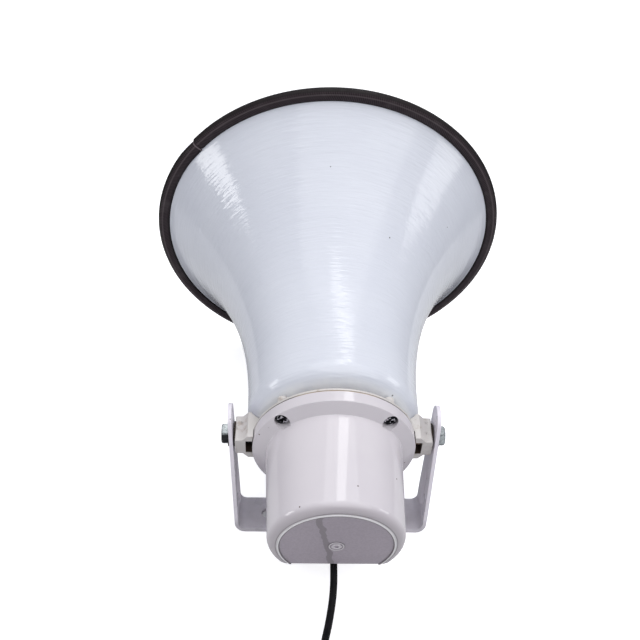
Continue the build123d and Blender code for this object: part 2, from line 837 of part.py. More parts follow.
def cable_bush():
    """Strain relief, snapped into the step of the cover and pointing to the rear."""
    bush = disc(bush_collar_radius, flat_start_y - bush_collar_thickness, flat_start_y)
    inner_y = flat_start_y + cover_wall
    bush += disc(bush_stem_radius, flat_start_y, inner_y)
    bush += disc(bush_inner_collar_radius, inner_y, inner_y + bush_inner_collar_thickness)
    taper = Cone(
        bush_root_radius,
        bush_tip_radius,
        bush_length - bush_collar_thickness,
        align=(Align.CENTER, Align.CENTER, Align.MIN),
    )
    bush += Pos(0, flat_start_y - bush_collar_thickness, 0) * Rot(X=90) * taper
    return Pos(0, 0, bush_z) * bush


# Route of the cord, in the bracket's frame: out of the bush, down to the surface and
# along it to the coil
bush_tip = Vector(
    0,
    bush_tip_y * cos(tilt) - bush_z * sin(tilt),
    pivot_height + bush_tip_y * sin(tilt) + bush_z * cos(tilt),
)
bush_way = Vector(0, -cos(tilt), -sin(tilt))
cord_route = [
    bush_tip,
    bush_tip + bush_way * bush_straight,
    Vector(-0.2, -65.0, 8.2),
    Vector(-2.6, -79.0, cord_radius),
    Vector(-5.6, -93.0, cord_radius),
    Vector(-8.0, -109.0, cord_radius),
    Vector(-8.6, -126.0, cord_radius),
]
tail_route = [
    Vector(14.3, -148.9, 5.7),
    Vector(25.0, -149.4, 4.6),
    Vector(37.0, -147.4, cord_radius),
    Vector(48.0, -141.4, cord_radius),
]


def cord_tube(route, name):
    """Round tube along straight runs joined by tangent arcs."""
    runs = [(b - a).length for a, b in zip(route, route[1:])]
    radii = []
    for n in range(1, len(route) - 1):
        turn = (route[n] - route[n - 1]).get_angle(route[n + 1] - route[n])
        radii.append(0.45 * min(runs[n - 1], runs[n]) / tan(radians(turn / 2)))
    path = FilletPolyline(*route, radius=radii)
    print(name, "length", round(path.length, 1), "radii", [round(r, 1) for r in radii])
    start = Plane(origin=path @ 0, z_dir=path % 0)
    tube = sweep(start * Circle(cord_radius), path=path)
    print(name, "volume over section times length", tube.volume / (pi * cord_radius ** 2 * path.length))
    return tube


def cord_coil():
    """Closed outer form of the coil: two turns wide and two turns high."""
    width = 2 * cord_radius * coil_rows
    height = 2 * cord_radius * coil_layers
    section = Pos(coil_turn_radius, height / 2) * RectangleRounded(width, height, cord_radius * 0.9)
    return Pos(*coil_centre, 0) * revolve(Plane.XZ * section, Axis.Z)


def cord_tie():
    """Flat strap round the coil's turns."""
    width = 2 * cord_radius * coil_rows
    height = 2 * cord_radius * coil_layers
    inner = RectangleRounded(width, height, cord_radius * 0.9)
    outer = RectangleRounded(width + 2 * tie_thickness, height, cord_radius * 0.9)
    outer += Pos(0, tie_thickness / 2) * RectangleRounded(
        width + 2 * tie_thickness, height + tie_thickness, cord_radius * 0.9
    )
    section = Pos(coil_turn_radius, height / 2) * (outer - inner)
    tie = extrude(Plane.XZ * section, tie_width / 2, both=True)
    tie -= revolve(Plane.XZ * (Pos(coil_turn_radius, height / 2) * inner), Axis.Z)
    return Pos(*coil_centre, 0) * tie


def cord_cores():
    """The two insulated cores at the cord's bare end."""
    end = tail_route[-1]
    way = (tail_route[-1] - tail_route[-2]).normalized()
    across = Vector(-way.Y, way.X, 0)
    cores = []
    for side in (-1, 1):
        start = end + way * core_wire_gap + across * (side * core_wire_spread)
        tip = start + way * core_wire_length + across * (side * core_wire_spread)
        cores.append(rod(core_wire_radius, tuple(start), tuple(tip)))
    return Compound(cores)


horn_pieces = {
    "horn_flare": horn_flare(),
    "rim_trim": rim_trim(),
    "mounting_ring": mounting_ring(),
    "horn_gasket": horn_gasket(),
    "cover_gasket": cover_gasket(),
    "rear_cover": rear_cover(),
    "cover_screws": cover_screws(),
    "pivot_bolts": pivot_bolts(),
    "pivot_nuts": pivot_nuts(),
    "bolt_washers": washer(bolt_washer_radius, bolt_washer_thickness, washer_seat_x),
    "friction_washers": washer(friction_washer_radius, friction_washer_thickness, ear_outer_x),
    "throat_tube": throat_tube(),
    "tube_screws": clamp_screws(tube_screw_circle, tube_screw_angle, tube_seat_y, ring_rear_y + hub_skin + 0.3),
    "reflector": reflector(),
    "reflector_screw": reflector_screw(),
    "throat_plate": throat_plate(),
    "driver_screws": clamp_screws(
        driver_screw_circle, driver_screw_angle, driver_rear_y, hub_front_y - hub_skin - 0.3
    ),
    "phase_plug": phase_plug(),
    "diaphragm": diaphragm(),
    "clamp_ring": clamp_ring(),
    "voice_coil": voice_coil(),
    "top_plate": top_plate(),
    "magnet": magnet(),
    "back_plate": back_plate(),
    "transformer_core": transformer_core(),
    "transformer_winding": transformer_winding(),
    "transformer_clips": transformer_clips(),
    "terminal_strip": terminal_strip(),
    "terminal_tags": terminal_tags(),
    "cable_bush": cable_bush(),
}
pieces = {"bracket": bracket()}
for name, piece in horn_pieces.items():
    pieces[name] = on_bracket(piece)
pieces["cord"] = cord_tube(cord_route, "cord")
pieces["cord_coil"] = cord_coil()
pieces["cord_tail"] = cord_tube(tail_route, "cord_tail")
pieces["cord_tie"] = cord_tie()
pieces["cord_cores"] = cord_cores()

os.makedirs("parts", exist_ok=True)
for name, piece in pieces.items():
    export_step(piece, f"parts/{name}.step")
print("pivot height", round(pivot_height, 3), "bush tip", [round(c, 3) for c in bush_tip])
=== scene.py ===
# %% [markdown]
# # A public-address horn speaker, dressed around its CAD frame
#
# The object is a re-entrant horn loudspeaker: a white spun bell with a rubber trim, a
# moulded housing behind it for the driver, and a steel U bracket that it tilts in.
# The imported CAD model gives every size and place. This file keeps what is already right
# in it, models the surfaces that carry the looks again with finer meshes, and gives
# every piece a procedural finish.

# %% Load the frame
import json
from math import atan, atan2, cos, pi, radians, sin, tan

import bmesh
import bpy
from mathutils import Matrix, Vector


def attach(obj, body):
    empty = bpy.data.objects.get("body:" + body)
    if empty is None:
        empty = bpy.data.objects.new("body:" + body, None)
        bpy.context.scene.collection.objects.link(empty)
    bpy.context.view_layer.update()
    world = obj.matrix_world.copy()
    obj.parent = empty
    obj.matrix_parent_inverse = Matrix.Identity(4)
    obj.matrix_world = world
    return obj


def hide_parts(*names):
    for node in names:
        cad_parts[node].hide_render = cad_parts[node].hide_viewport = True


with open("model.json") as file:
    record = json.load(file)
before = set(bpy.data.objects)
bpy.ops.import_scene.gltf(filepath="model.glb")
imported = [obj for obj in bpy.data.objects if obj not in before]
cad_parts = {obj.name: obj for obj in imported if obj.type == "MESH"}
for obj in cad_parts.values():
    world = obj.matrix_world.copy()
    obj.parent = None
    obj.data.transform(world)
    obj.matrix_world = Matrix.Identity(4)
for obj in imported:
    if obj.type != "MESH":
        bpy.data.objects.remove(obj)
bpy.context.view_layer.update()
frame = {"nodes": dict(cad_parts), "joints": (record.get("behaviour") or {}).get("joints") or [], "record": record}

mm = 0.001
scene = bpy.context.scene
scene.view_settings.view_transform = "Standard"
nodes = frame["nodes"]

# %% [markdown]
# ## Two frames
#
# The bracket stands upright, and the horn is tilted in it. The horn's pieces are easiest
# to draw about the horn's own axis, with the pivot at the origin and the mouth towards
# +Y. One matrix then tilts such a mesh and lifts it onto the pivot. The pivot's height
# comes from the joint in the frame.

# %% The horn's place on the bracket
joint = frame["joints"][0]
pivot = Vector(joint["pos_m"])
horn_tilt = radians(17)
horn_place = Matrix.Translation(pivot) @ Matrix.Rotation(horn_tilt, 4, "X")
print("pivot height in mm", round(pivot.z / mm, 2))

# %% [markdown]
# ## The camera
#
# The photograph looks down at the back of the speaker. The place, the view and the
# focal length were solved from the pieces whose sizes are known, such as the rim.
# A camera looks along its own -Z, so its axes are the sideways direction, the cross
# product that points up, and the view turned round.

# %% Camera
camera_place = Vector((-0.0259, -0.4103, 0.3707))
camera_view = Vector((0.0345, 0.8625, -0.5049)).normalized()
camera_side = Vector((0.9993, -0.0224, 0.0301))
focal_pixels = 942.1
picture_pixels = 640
sensor_width = 36.0


def link_object(name, data):
    """Object at the origin that holds the data."""
    made = bpy.data.objects.new(name, data)
    scene.collection.objects.link(made)
    return made


back = -camera_view
up = back.cross(camera_side).normalized()
side = up.cross(back)
camera_data = bpy.data.cameras.new("camera")
camera_data.sensor_width = sensor_width
camera_data.lens = focal_pixels / picture_pixels * sensor_width
camera = link_object("camera", camera_data)
turn = Matrix((side, up, back)).transposed().to_4x4()
camera.matrix_world = Matrix.Translation(camera_place) @ turn
scene.camera = camera
print("lens", round(camera_data.lens, 2))

# %% [markdown]
# ## The cord
#
# A cord is a fixed length of something flexible. A NURBS spline of order 3 through a
# given route gives one smooth curve. It leaves the rubber bush behind the
# housing's step, falls to the surface and runs out of the picture towards the camera.
# The length that the picture doesn't show is wound into a small coil and tied.

# %% Cord route
cord_radius = 1.9 * mm
bush_tip = Vector((0.0, -40.155, 18.648)) * mm
bush_way = Vector((0, -cos(horn_tilt), -sin(horn_tilt)))
bush_lead = 12 * mm
seen_route = [
    bush_tip,
    bush_tip + bush_way * bush_lead,
    Vector((-0.2, -65.0, 8.2)) * mm,
    Vector((-2.6, -79.0, 1.9)) * mm,
    Vector((-5.6, -93.0, 1.9)) * mm,
    Vector((-8.0, -109.0, 1.9)) * mm,
]
tail_route = [
    Vector((25.0, -149.4, 4.6)) * mm,
    Vector((37.0, -147.4, 1.9)) * mm,
    Vector((48.0, -141.4, 1.9)) * mm,
]
coil_centre = Vector((14.3, -126.0, 0)) * mm
coil_turn_radius = 21 * mm
points_a_turn = 16
print("points before the coil", len(seen_route))

# %% [markdown]
# The coil has two turns side by side on the surface, and one turn and a quarter on top
# of them. The cord enters at the outer lower turn and leaves at the outer upper one. Each
# turn is a circle of control points, and the change from one turn to the next is spread
# over the turn's last quarter.

# %% Coil turns
turn_places = [(1, 0), (-1, 0), (-1, 1), (1, 1)]
steady_share = 0.75


def coil_points():
    """Control points of the coil's turns, starting at the side nearest the object."""
    layer_step = 2 * cord_radius
    points = []
    last = len(turn_places) - 1
    for index, (outward, layer) in enumerate(turn_places):
        following = turn_places[min(index + 1, last)]
        count = points_a_turn if index < last else points_a_turn // 4
        for n in range(count):
            share = n / points_a_turn
            change = max(0, (share - steady_share) / (1 - steady_share))
            lane = outward + (following[0] - outward) * change
            height = layer + (following[1] - layer) * change
            radius = coil_turn_radius + lane * cord_radius
            angle = pi + 2 * pi * share
            place = Vector((cos(angle), sin(angle), 0)) * radius
            place.z = cord_radius + height * layer_step
            points.append(coil_centre + place)
    return points


def cord_curve(name, points, radius):
    """Round cord on one open NURBS spline; its points carry the radius."""
    curve = bpy.data.curves.new(name, "CURVE")
    curve.dimensions = "3D"
    spline = curve.splines.new("NURBS")
    spline.points.add(len(points) - 1)
    for control, place in zip(spline.points, points):
        control.co = (*place, 1)
        control.radius = radius
    spline.order_u = 3
    spline.use_endpoint_u = True
    spline.resolution_u = 12
    curve.bevel_depth = 1.0
    curve.bevel_resolution = 8
    curve.use_fill_caps = True
    return link_object(name, curve)


cord = cord_curve("cord_line", seen_route + coil_points() + tail_route, cord_radius)
print("cord control points", len(cord.data.splines[0].points))

# %% [markdown]
# ## Node helpers
#
# The backdrop, the floor and every finish are node trees. Such a tree is easiest to read
# when one line makes a node and links it, so one helper takes a node's inputs as values
# or as other nodes' outputs.

# %% Node helpers


def add_node(owner, kind, inputs, **settings):
    """Node whose inputs are values or other nodes' outputs."""
    made = owner.node_tree.nodes.new("ShaderNode" + kind)
    for setting, value in settings.items():
        setattr(made, setting, value)
    for socket, value in inputs.items():
        if isinstance(value, bpy.types.NodeSocket):
            owner.node_tree.links.new(value, made.inputs[socket])
        else:
            made.inputs[socket].default_value = value
    return made


def number(owner, operation, *values):
    """Result of a Math node."""
    return add_node(owner, "Math", dict(enumerate(values)), operation=operation).outputs[0]


def length(owner, place):
    """Distance of a place from the origin."""
    return add_node(owner, "VectorMath", {0: place}, operation="LENGTH").outputs["Value"]


def axes_of(owner, place):
    """The X, Y and Z of a place."""
    return add_node(owner, "SeparateXYZ", {"Vector": place}).outputs


def spread(owner, value, low, high, to_low=0.0, to_high=1.0, ramp="SMOOTHSTEP"):
    """Stretches a range of a value to another, softly at both ends unless told."""
    inputs = {"Value": value, "From Min": low, "From Max": high}
    inputs |= {"To Min": to_low, "To Max": to_high}
    return add_node(owner, "MapRange", inputs, interpolation_type=ramp).outputs[0]


print("node helpers ready")

# %% [markdown]
# ## Floor, backdrop and light
#
# The photograph is a studio cut-out on plain white. The floor and the world are made
# white for the camera and for reflections, through Light Path, while the light that
# reaches the object stays at a plain level. A gloss surface also mirrors the dark room
# low down beyond the table, so the white that reflections see fades towards the horizon.

# %% Backdrop
white = (1, 1, 1, 1)
room_light = (0.95, 0.96, 1.0, 1)
room_strength = 0.5
mirrored_horizon = 0.16
mirrored_sky = 0.70
sky_rise = 0.75

world = bpy.data.worlds.new("studio")
scene.world = world
world.use_nodes = True
world.node_tree.nodes.clear()
rays = add_node(world, "LightPath", {}).outputs
rise = axes_of(world, add_node(world, "TexCoord", {}).outputs["Generated"])["Z"]
mirrored_white = spread(world, rise, 0.0, sky_rise, mirrored_horizon, mirrored_sky)
brightness = number(world, "MAXIMUM", rays["Is Camera Ray"], mirrored_white)
mirrored = number(world, "MAXIMUM", rays["Is Glossy Ray"], rays["Is Transmission Ray"])
shown = number(world, "MAXIMUM", rays["Is Camera Ray"], mirrored)
plain = add_node(world, "Background", {"Color": room_light, "Strength": room_strength})
bright = add_node(world, "Background", {"Color": white, "Strength": brightness})
both = add_node(world, "MixShader", {0: shown, 1: plain.outputs[0], 2: bright.outputs[0]})
add_node(world, "OutputWorld", {"Surface": both.outputs[0]})
print("world nodes", len(world.node_tree.nodes))

# %% [markdown]
# The floor is a pale table that ends in a darker room, for the light that it throws back,
# and plain white paper for the camera. Under the bracket's base the paper doesn't glow,
# so the fixing holes look dark.

# %% Floor
floor_half = 3.0
table_radius = 0.42
table_edge = 0.03
table_tone, room_tone = 0.66, 0.16
base_reach = (0.05, 0.0125)
paper_colour = (0.86, 0.86, 0.88, 1)
paper_glow = 0.62


def mesh_from(bm, name):
    """Mesh made from a bmesh, which is freed."""
    mesh = bpy.data.meshes.new(name)
    bm.to_mesh(mesh)
    bm.free()
    return mesh


def floor_paper():
    """Pale table, darker beyond its edge, and white to the camera."""
    finish = bpy.data.materials.new("floor_white")
    finish.use_nodes = True
    finish.node_tree.nodes.clear()
    place = add_node(finish, "TexCoord", {}).outputs["Object"]
    edge = (table_radius, table_radius + table_edge)
    tone = spread(finish, length(finish, place), *edge, table_tone, room_tone, ramp="LINEAR")
    table = add_node(finish, "BsdfDiffuse", {"Color": tone})
    positive = add_node(finish, "VectorMath", {0: place}, operation="ABSOLUTE")
    aside = axes_of(finish, positive.outputs[0])
    beside = number(finish, "GREATER_THAN", aside["X"], base_reach[0])
    behind = number(finish, "GREATER_THAN", aside["Y"], base_reach[1])
    lit = number(finish, "MULTIPLY", number(finish, "MAXIMUM", beside, behind), paper_glow)
    glow = add_node(finish, "Emission", {"Color": white, "Strength": lit})
    paper = add_node(finish, "BsdfDiffuse", {"Color": paper_colour})
    shown_paper = add_node(finish, "AddShader", {0: paper.outputs[0], 1: glow.outputs[0]})
    seen = add_node(finish, "LightPath", {}).outputs["Is Camera Ray"]
    pick = add_node(finish, "MixShader", {0: seen, 1: table.outputs[0], 2: shown_paper.outputs[0]})
    add_node(finish, "OutputMaterial", {"Surface": pick.outputs[0]})
    return finish


bm = bmesh.new()
bmesh.ops.create_grid(bm, x_segments=1, y_segments=1, size=floor_half)
floor = link_object("floor", mesh_from(bm, "floor"))
floor.data.materials.append(floor_paper())
print("floor made", floor.name)

# %% [markdown]
# The places of the highlights in the photograph say where its lamps were: a ray from
# the camera, mirrored by the bell, points at the lamp. The narrow streak down the middle
# comes from a strip light overhead, the broad pale band round it from a large panel, and
# the two ragged patches on the bell from a box on each side. A lamp's power is worked
# out from the brightness it should show, since a flat lamp of power P and area A has the
# brightness P / (pi A).

# %% Lamps
lamp_target = Vector((0, 0.04, 0.1))


def softbox(name, place, size, brightness):
    """Flat rectangular lamp that faces the speaker."""
    lamp = bpy.data.lights.new(name, "AREA")
    lamp.shape = "RECTANGLE"
    lamp.size, lamp.size_y = size
    lamp.energy = brightness * pi * size[0] * size[1]
    made = link_object(name, lamp)
    made.visible_camera = False
    facing = (lamp_target - Vector(place)).to_track_quat("-Z", "Y")
    made.matrix_world = Matrix.Translation(place) @ facing.to_matrix().to_4x4()


softbox("overhead_panel", (0.26, -0.45, 1.35), (1.9, 2.4), 1.2)
softbox("overhead_strip", (0.20, 0.25, 1.20), (0.19, 0.60), 3.2)
softbox("left_box", (-1.05, -0.12, 0.26), (0.30, 0.28), 5.6)
softbox("right_box", (1.05, -0.02, 0.34), (0.36, 0.34), 2.7)

# %% [markdown]
# ## Making turned pieces
#
# Most of a horn speaker is turned: the bell, the trim, the cover and the reflector.
# Each is drawn as half a section, with its corners rounded by a vertex bevel, and spun
# about the horn's axis.

# %% Sections


def round_corner(bm, y, radius_there, rounding, segments=6):
    """Rounds the corner of a section that lies at a station and radius."""
    place = Vector((0, y, radius_there)) * mm
    corner = min(bm.verts, key=lambda vert: (vert.co - place).length)
    ways = [edge.other_vert(corner).co - corner.co for edge in corner.link_edges]
    reach = rounding * mm / tan(ways[0].angle(ways[1]) / 2)
    bmesh.ops.bevel(
        bm,
        geom=[corner],
        offset=reach,
        offset_type="OFFSET",
        segments=segments,
        profile=0.5,
        affect="VERTICES",
        material=-1,
    )


def section(points, closed=True):
    """Section as a wire; a point is (y, radius) or (y, radius, rounding), in mm."""
    bm = bmesh.new()
    verts = [bm.verts.new((0, point[0] * mm, point[1] * mm)) for point in points]
    for first, second in zip(verts, verts[1:]):
        bm.edges.new((first, second))
    if closed:
        bm.edges.new((verts[-1], verts[0]))
    for point in points:
        if len(point) > 2:
            round_corner(bm, *point)
    return bm


print("section helper ready")

# %% [markdown]
# Spin can turn a mesh inside out, so doubles are merged and the normals recalculated, and
# an edge on the axis is left as a wire, which is deleted. Sharp edges are marked by their
# angle, and the rest is smooth. A Weighted Normal modifier lets large faces rule the
# shading, so flat faces look flat.

# %% Turned pieces
turned_steps = 224
weld = 1e-6
about_axis = {"cent": (0, 0, 0), "axis": (0, 1, 0)}


def spin_section(bm, steps=turned_steps):
    """Spins a section about the horn's axis into a closed surface."""
    wire = bm.verts[:] + bm.edges[:]
    bmesh.ops.spin(bm, geom=wire, angle=2 * pi, steps=steps, use_merge=True, **about_axis)
    bmesh.ops.remove_doubles(bm, verts=bm.verts, dist=weld)
    on_axis = [edge for edge in bm.edges if edge.is_wire]
    bmesh.ops.delete(bm, geom=on_axis, context="EDGES")
    bmesh.ops.recalc_face_normals(bm, faces=bm.faces)
    return bm


def finish_piece(bm, name, place, sharp=32):
    """Turns a bmesh into a smooth-shaded object at the origin."""
    bmesh.ops.transform(bm, matrix=place, verts=bm.verts)
    mesh = mesh_from(bm, name)
    mesh.shade_smooth()
    mesh.set_sharp_from_angle(angle=radians(sharp))
    made = link_object(name, mesh)
    made.modifiers.new("flat_faces", "WEIGHTED_NORMAL").keep_sharp = True
    return made


def turned(name, points, steps=turned_steps):
    """Turned piece from a section's corners."""
    return finish_piece(spin_section(section(points), steps), name, horn_place)


print("steps in a turn", turned_steps)

# %% [markdown]
# Small or intricate pieces keep the shape of their CAD node. Its mesh is loose triangles,
# so a copy is merged, and its flat faces joined, before it is shaded smooth. Every new
# piece is then dressed: it rides on a body, has a finish and replaces its nodes.

# %% Copies and dressing
coplanar = radians(0.4)
pieces_by_slot = {}


def smooth_copy(node, name):
    """Smooth-shaded copy of a CAD node, with its loose triangles merged."""
    bm = bmesh.new()
    bm.from_mesh(nodes[node].data)
    bmesh.ops.remove_doubles(bm, verts=bm.verts, dist=2 * weld)
    bmesh.ops.dissolve_limit(bm, angle_limit=coplanar, verts=bm.verts, edges=bm.edges)
    return finish_piece(bm, name, Matrix.Identity(4), sharp=28)


def dress(piece, body, slot, *replaced):
    """Says which body a piece rides on, what finish it takes and which nodes it replaces."""
    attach(piece, body)
    if replaced:
        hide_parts(*replaced)
    pieces_by_slot.setdefault(slot, []).append(piece)
    return piece


print("copies are merged within", 2 * weld)

# %% [markdown]
# ## The bell
#
# The bell is one disc of aluminium, spun over a former: a flat bottom with a rounded
# shoulder, a neck, a growing flare and a curl at the mouth that stiffens the edge. Its
# outer and inner skins follow the same line, one wall apart, so one function gives
# both, and the closed section is spun.

# %% Horn flare
wall = 1.0
neck_radius = 47.0
neck_rear_y = 3.0
shoulder_radius = 10.5
bell_length = 147.0
bell_growth = 55.0
bell_power = 2.3
curl_radius = 8.0
neck_hole_radius = 13.5
bell_start_y = neck_rear_y + shoulder_radius
bell_samples = 64
arc_samples = 12
bell_steps = 256


def bell_slope(share):
    """Angle of the bell's surface to the axis at a share of its length."""
    return atan(bell_growth * bell_power * share ** (bell_power - 1) / bell_length)


def flare_line(inset):
    """The bell's section line, from its bottom hole to its lip, set in by a distance."""
    points = [(neck_rear_y + inset, neck_hole_radius)]
    centre = (bell_start_y, neck_radius - shoulder_radius)
    reach = shoulder_radius - inset
    for n in range(arc_samples):
        angle = pi - pi / 2 * n / arc_samples
        points.append((centre[0] + reach * cos(angle), centre[1] + reach * sin(angle)))
    for n in range(bell_samples + 1):
        share = n / bell_samples
        slope = bell_slope(share)
        radius = neck_radius + bell_growth * share ** bell_power
        y = bell_start_y + bell_length * share
        points.append((y + inset * sin(slope), radius - inset * cos(slope)))
    slope = bell_slope(1)
    reach = curl_radius + inset
    end_y, end_radius = points[-1]
    centre = (end_y - reach * sin(slope), end_radius + reach * cos(slope))
    for n in range(1, arc_samples + 1):
        angle = slope + (pi / 2 - slope) * n / arc_samples
        points.append((centre[0] + reach * sin(angle), centre[1] - reach * cos(angle)))
    return points


lip_y, lip_radius = flare_line(0)[-1]
flare = turned("bell_shell", flare_line(0) + flare_line(wall)[::-1], bell_steps)
dress(flare, "horn", "horn_enamel", "horn_flare")
print("bell: lip at", round(lip_y, 2), round(lip_radius, 2), "faces", len(flare.data.polygons))

# %% [markdown]
# ## The rim trim
#
# A rubber channel is pushed over the bell's edge. It is one strip, and its two ends meet
# in a butt joint at the upper left. So its section, a rounded rectangle, is turned by
# not quite a full circle, both ends are closed, and the last stretch of one end is drawn
# inwards a little, as the ends of such a strip never meet quite true.

# %% Rim trim
trim_radius = 111.0
trim_depth = 8.4
trim_width = 6.05
trim_corner = 3.0
trim_lead = 0.825
trim_y = lip_y + trim_lead
joint_angle = radians(-49.5)
joint_gap = radians(0.4)
drawn_in = 0.7 * mm
drawn_stretch = radians(9)
trim_steps = 300


def box_line(rear, front, inner, outer):
    """Corners of a rectangular section."""
    return [(rear, inner), (front, inner), (front, outer), (rear, outer)]


def draw_end_in(bm):
    """Moves the strip's last stretch towards the axis, most at its end."""
    for vert in bm.verts:
        angle = atan2(vert.co.x, vert.co.z) - joint_angle
        behind = (-angle) % (2 * pi)
        if behind < drawn_stretch:
            share = 1 - behind / drawn_stretch
            radial = Vector((vert.co.x, 0, vert.co.z)).normalized()
            vert.co -= radial * drawn_in * share * share * (3 - 2 * share)


def rim_trim():
    """Rounded rubber strip round the mouth, with a butt joint."""
    half = trim_width / 2
    corners = box_line(trim_y - half, trim_y + half, trim_radius - trim_depth, trim_radius)
    bm = section([(*corner, trim_corner) for corner in corners])
    start = bmesh.ops.contextual_create(bm, geom=bm.edges[:])["faces"]
    turn = Matrix.Rotation(joint_angle + joint_gap / 2, 4, "Y")
    bmesh.ops.transform(bm, matrix=turn, verts=bm.verts)
    sweep = 2 * pi - joint_gap
    bmesh.ops.spin(bm, geom=start, angle=sweep, steps=trim_steps, use_duplicate=False, **about_axis)
    bmesh.ops.remove_doubles(bm, verts=bm.verts, dist=weld / 10)
    draw_end_in(bm)
    bmesh.ops.recalc_face_normals(bm, faces=bm.faces)
    return finish_piece(bm, "trim_channel", horn_place, sharp=60)


dress(rim_trim(), "horn", "trim_rubber", "rim_trim")
print("trim's middle at", round(trim_y, 2))

# %% [markdown]
# ## The mounting ring
#
# The ivory ring behind the bell carries everything: the bell and the driver are
# screwed to its hub, and two hollow ears hold the nuts of the pivot bolts. Its shape is
# full of cuts that the CAD node has already, so a merged and smoothed copy of that node
# is used. The thin gasket behind it is turned.

# %% Mounting ring and gasket
seal_rear_y, seal_front_y = -4.3, -3.7
seal_inner, seal_outer = 34.5, 43.5

ring = dress(smooth_copy("mounting_ring", "ring_moulding"), "horn", "ring_plastic", "mounting_ring")
gasket = turned("cover_seal", box_line(seal_rear_y, seal_front_y, seal_inner, seal_outer))
dress(gasket, "horn", "gasket_rubber", "cover_gasket")
print("ring faces", len(ring.data.polygons))

# %% [markdown]
# ## The rear cover
#
# The housing is a drafted cup with a flange, a conical step, a round shoulder and a rear
# panel with a raised rib. Its outer and inner surfaces are both spun.

# %% Cover section
cover_front_y = -4.3
cover_rear_y = -67.5
cover_rim = 43.8
cover_wall = 2.4
body_front = 36.9
body_rear = 34.6
rear_corner, rear_corner_steps = 5.0, 14
flange_rear_y = -10.5
flange_rounding = 0.6
cone_foot = (-13.73, 36.55)
cone_foot_rounding = 0.35
rib = (28.4, 29.5, 0.5)
ring_mark = (3.3, 4.0, 0.4)
raised_rounding = 0.35


def raised(inner, outer, height):
    """Section corners of a raised ring on the rear panel, from outside inwards."""
    top = cover_rear_y - height
    edge = (height * raised_rounding, 3)
    return [(cover_rear_y, outer), (top, outer, *edge), (top, inner, *edge), (cover_rear_y, inner)]


front_edge = (cover_front_y, body_front - cover_wall)
outer_line = [
    front_edge,
    (cover_front_y, cover_rim),
    (flange_rear_y, cover_rim, flange_rounding),
    (*cone_foot, cone_foot_rounding, 3),
    (cover_rear_y, body_rear, rear_corner, rear_corner_steps),
    *raised(*rib),
    *raised(*ring_mark),
    (cover_rear_y, 0),
]
inner_line = [
    front_edge,
    (cover_rear_y + cover_wall, body_rear - cover_wall, rear_corner - cover_wall),
    (cover_rear_y + cover_wall, 0),
]
print("cover section corners", len(outer_line), len(inner_line))

# %% [markdown]
# Behind the step in its underside the cup is cut flat: two bisecting planes split the
# faces, the ones below are deleted, and an edge across the opening lets two flat faces
# close it.

# %% Flat underside
flat_start_y = -36.0
flat_z = -17.8


def split(bm, station, place, way):
    """Splits what lies behind a station of the axis by a plane."""
    geometry = [
        part
        for part in bm.verts[:] + bm.edges[:] + bm.faces[:]
        if max(vert.co.y for vert in getattr(part, "verts", [part])) < station
    ]
    bmesh.ops.bisect_plane(bm, geom=geometry, dist=weld / 10, plane_co=place, plane_no=way)


def cut_flat(bm, step_y, level):
    """Cuts the underside flat behind a station and closes the opening."""
    split(bm, 0, (0, step_y, 0), (0, 1, 0))
    split(bm, step_y + weld, (0, 0, level), (0, 0, 1))
    centres = {face: face.calc_center_median() for face in bm.faces}
    below = [face for face, at in centres.items() if at.y < step_y and at.z < level]
    bmesh.ops.delete(bm, geom=below, context="FACES")
    rim = [vert for vert in bm.verts if vert.is_boundary]
    bm.edges.new([v for v in rim if abs(v.co.y - step_y) + abs(v.co.z - level) < 2 * weld])
    opening = [edge for edge in bm.edges if len(edge.link_faces) < 2]
    opening = [edge for edge in opening if min(vert.co.y for vert in edge.verts) < step_y + weld]
    bmesh.ops.edgenet_fill(bm, edges=opening)


def cup(points, step_y, level):
    """One spun surface of the cover as a mesh, with its underside cut flat."""
    bm = spin_section(section(points, closed=False))
    cut_flat(bm, step_y * mm, level * mm)
    return mesh_from(bm, "cup")


outside = cup(outer_line, flat_start_y, flat_z)
inside = cup(inner_line, flat_start_y + cover_wall, flat_z + cover_wall)
print("faces of the two skins", len(outside.polygons), len(inside.polygons))

# %% [markdown]
# Four stepped round holes take the screws and a plain one takes the cord's bush. Their
# shapes are spun too.

# %% Cover holes
screw_circle = 39.3
pocket_radius, pocket_floor_y = 4.15, -8.6
screw_hole = 1.9
bush_hole, bush_z = 3.55, -26.2
bush_rear_y, bush_front_y = -37.0, -32.6
overcut = 1.0
hole_steps = 48


def spun_mesh(points, steps, place):
    """Turned mesh about the Y axis, moved by a matrix."""
    bm = spin_section(section(points), steps)
    bmesh.ops.transform(bm, matrix=place, verts=bm.verts)
    return mesh_from(bm, "spun")


pocket_line = [
    (cone_foot[0] - overcut, 0),
    (cone_foot[0] - overcut, pocket_radius),
    (pocket_floor_y, pocket_radius),
    (pocket_floor_y, screw_hole),
    (cover_front_y + overcut, screw_hole),
    (cover_front_y + overcut, 0),
]
bush_line = [
    (bush_rear_y, 0),
    (bush_rear_y, bush_hole),
    (bush_front_y, bush_hole),
    (bush_front_y, 0),
]
cutters = [spun_mesh(bush_line, hole_steps, Matrix.Translation((0, 0, bush_z * mm)))]
for quarter in range(4):
    angle = pi / 4 + quarter * pi / 2
    place = Vector((cos(angle), 0, sin(angle))) * screw_circle * mm
    cutters.append(spun_mesh(pocket_line, hole_steps, Matrix.Translation(place)))
print("holes", len(cutters))

# %% [markdown]
# A Boolean modifier cuts the holes out of the cup. A small six-sided ring, the mark in
# the middle of the panel, stands inside the round one.

# %% Rear cover
mark_radii = (2.89, 1.3)
mark_height, mark_root = 0.4, 0.5
mark_sides = 6
mark_turn = Matrix.Rotation(radians(30), 4, "Y")


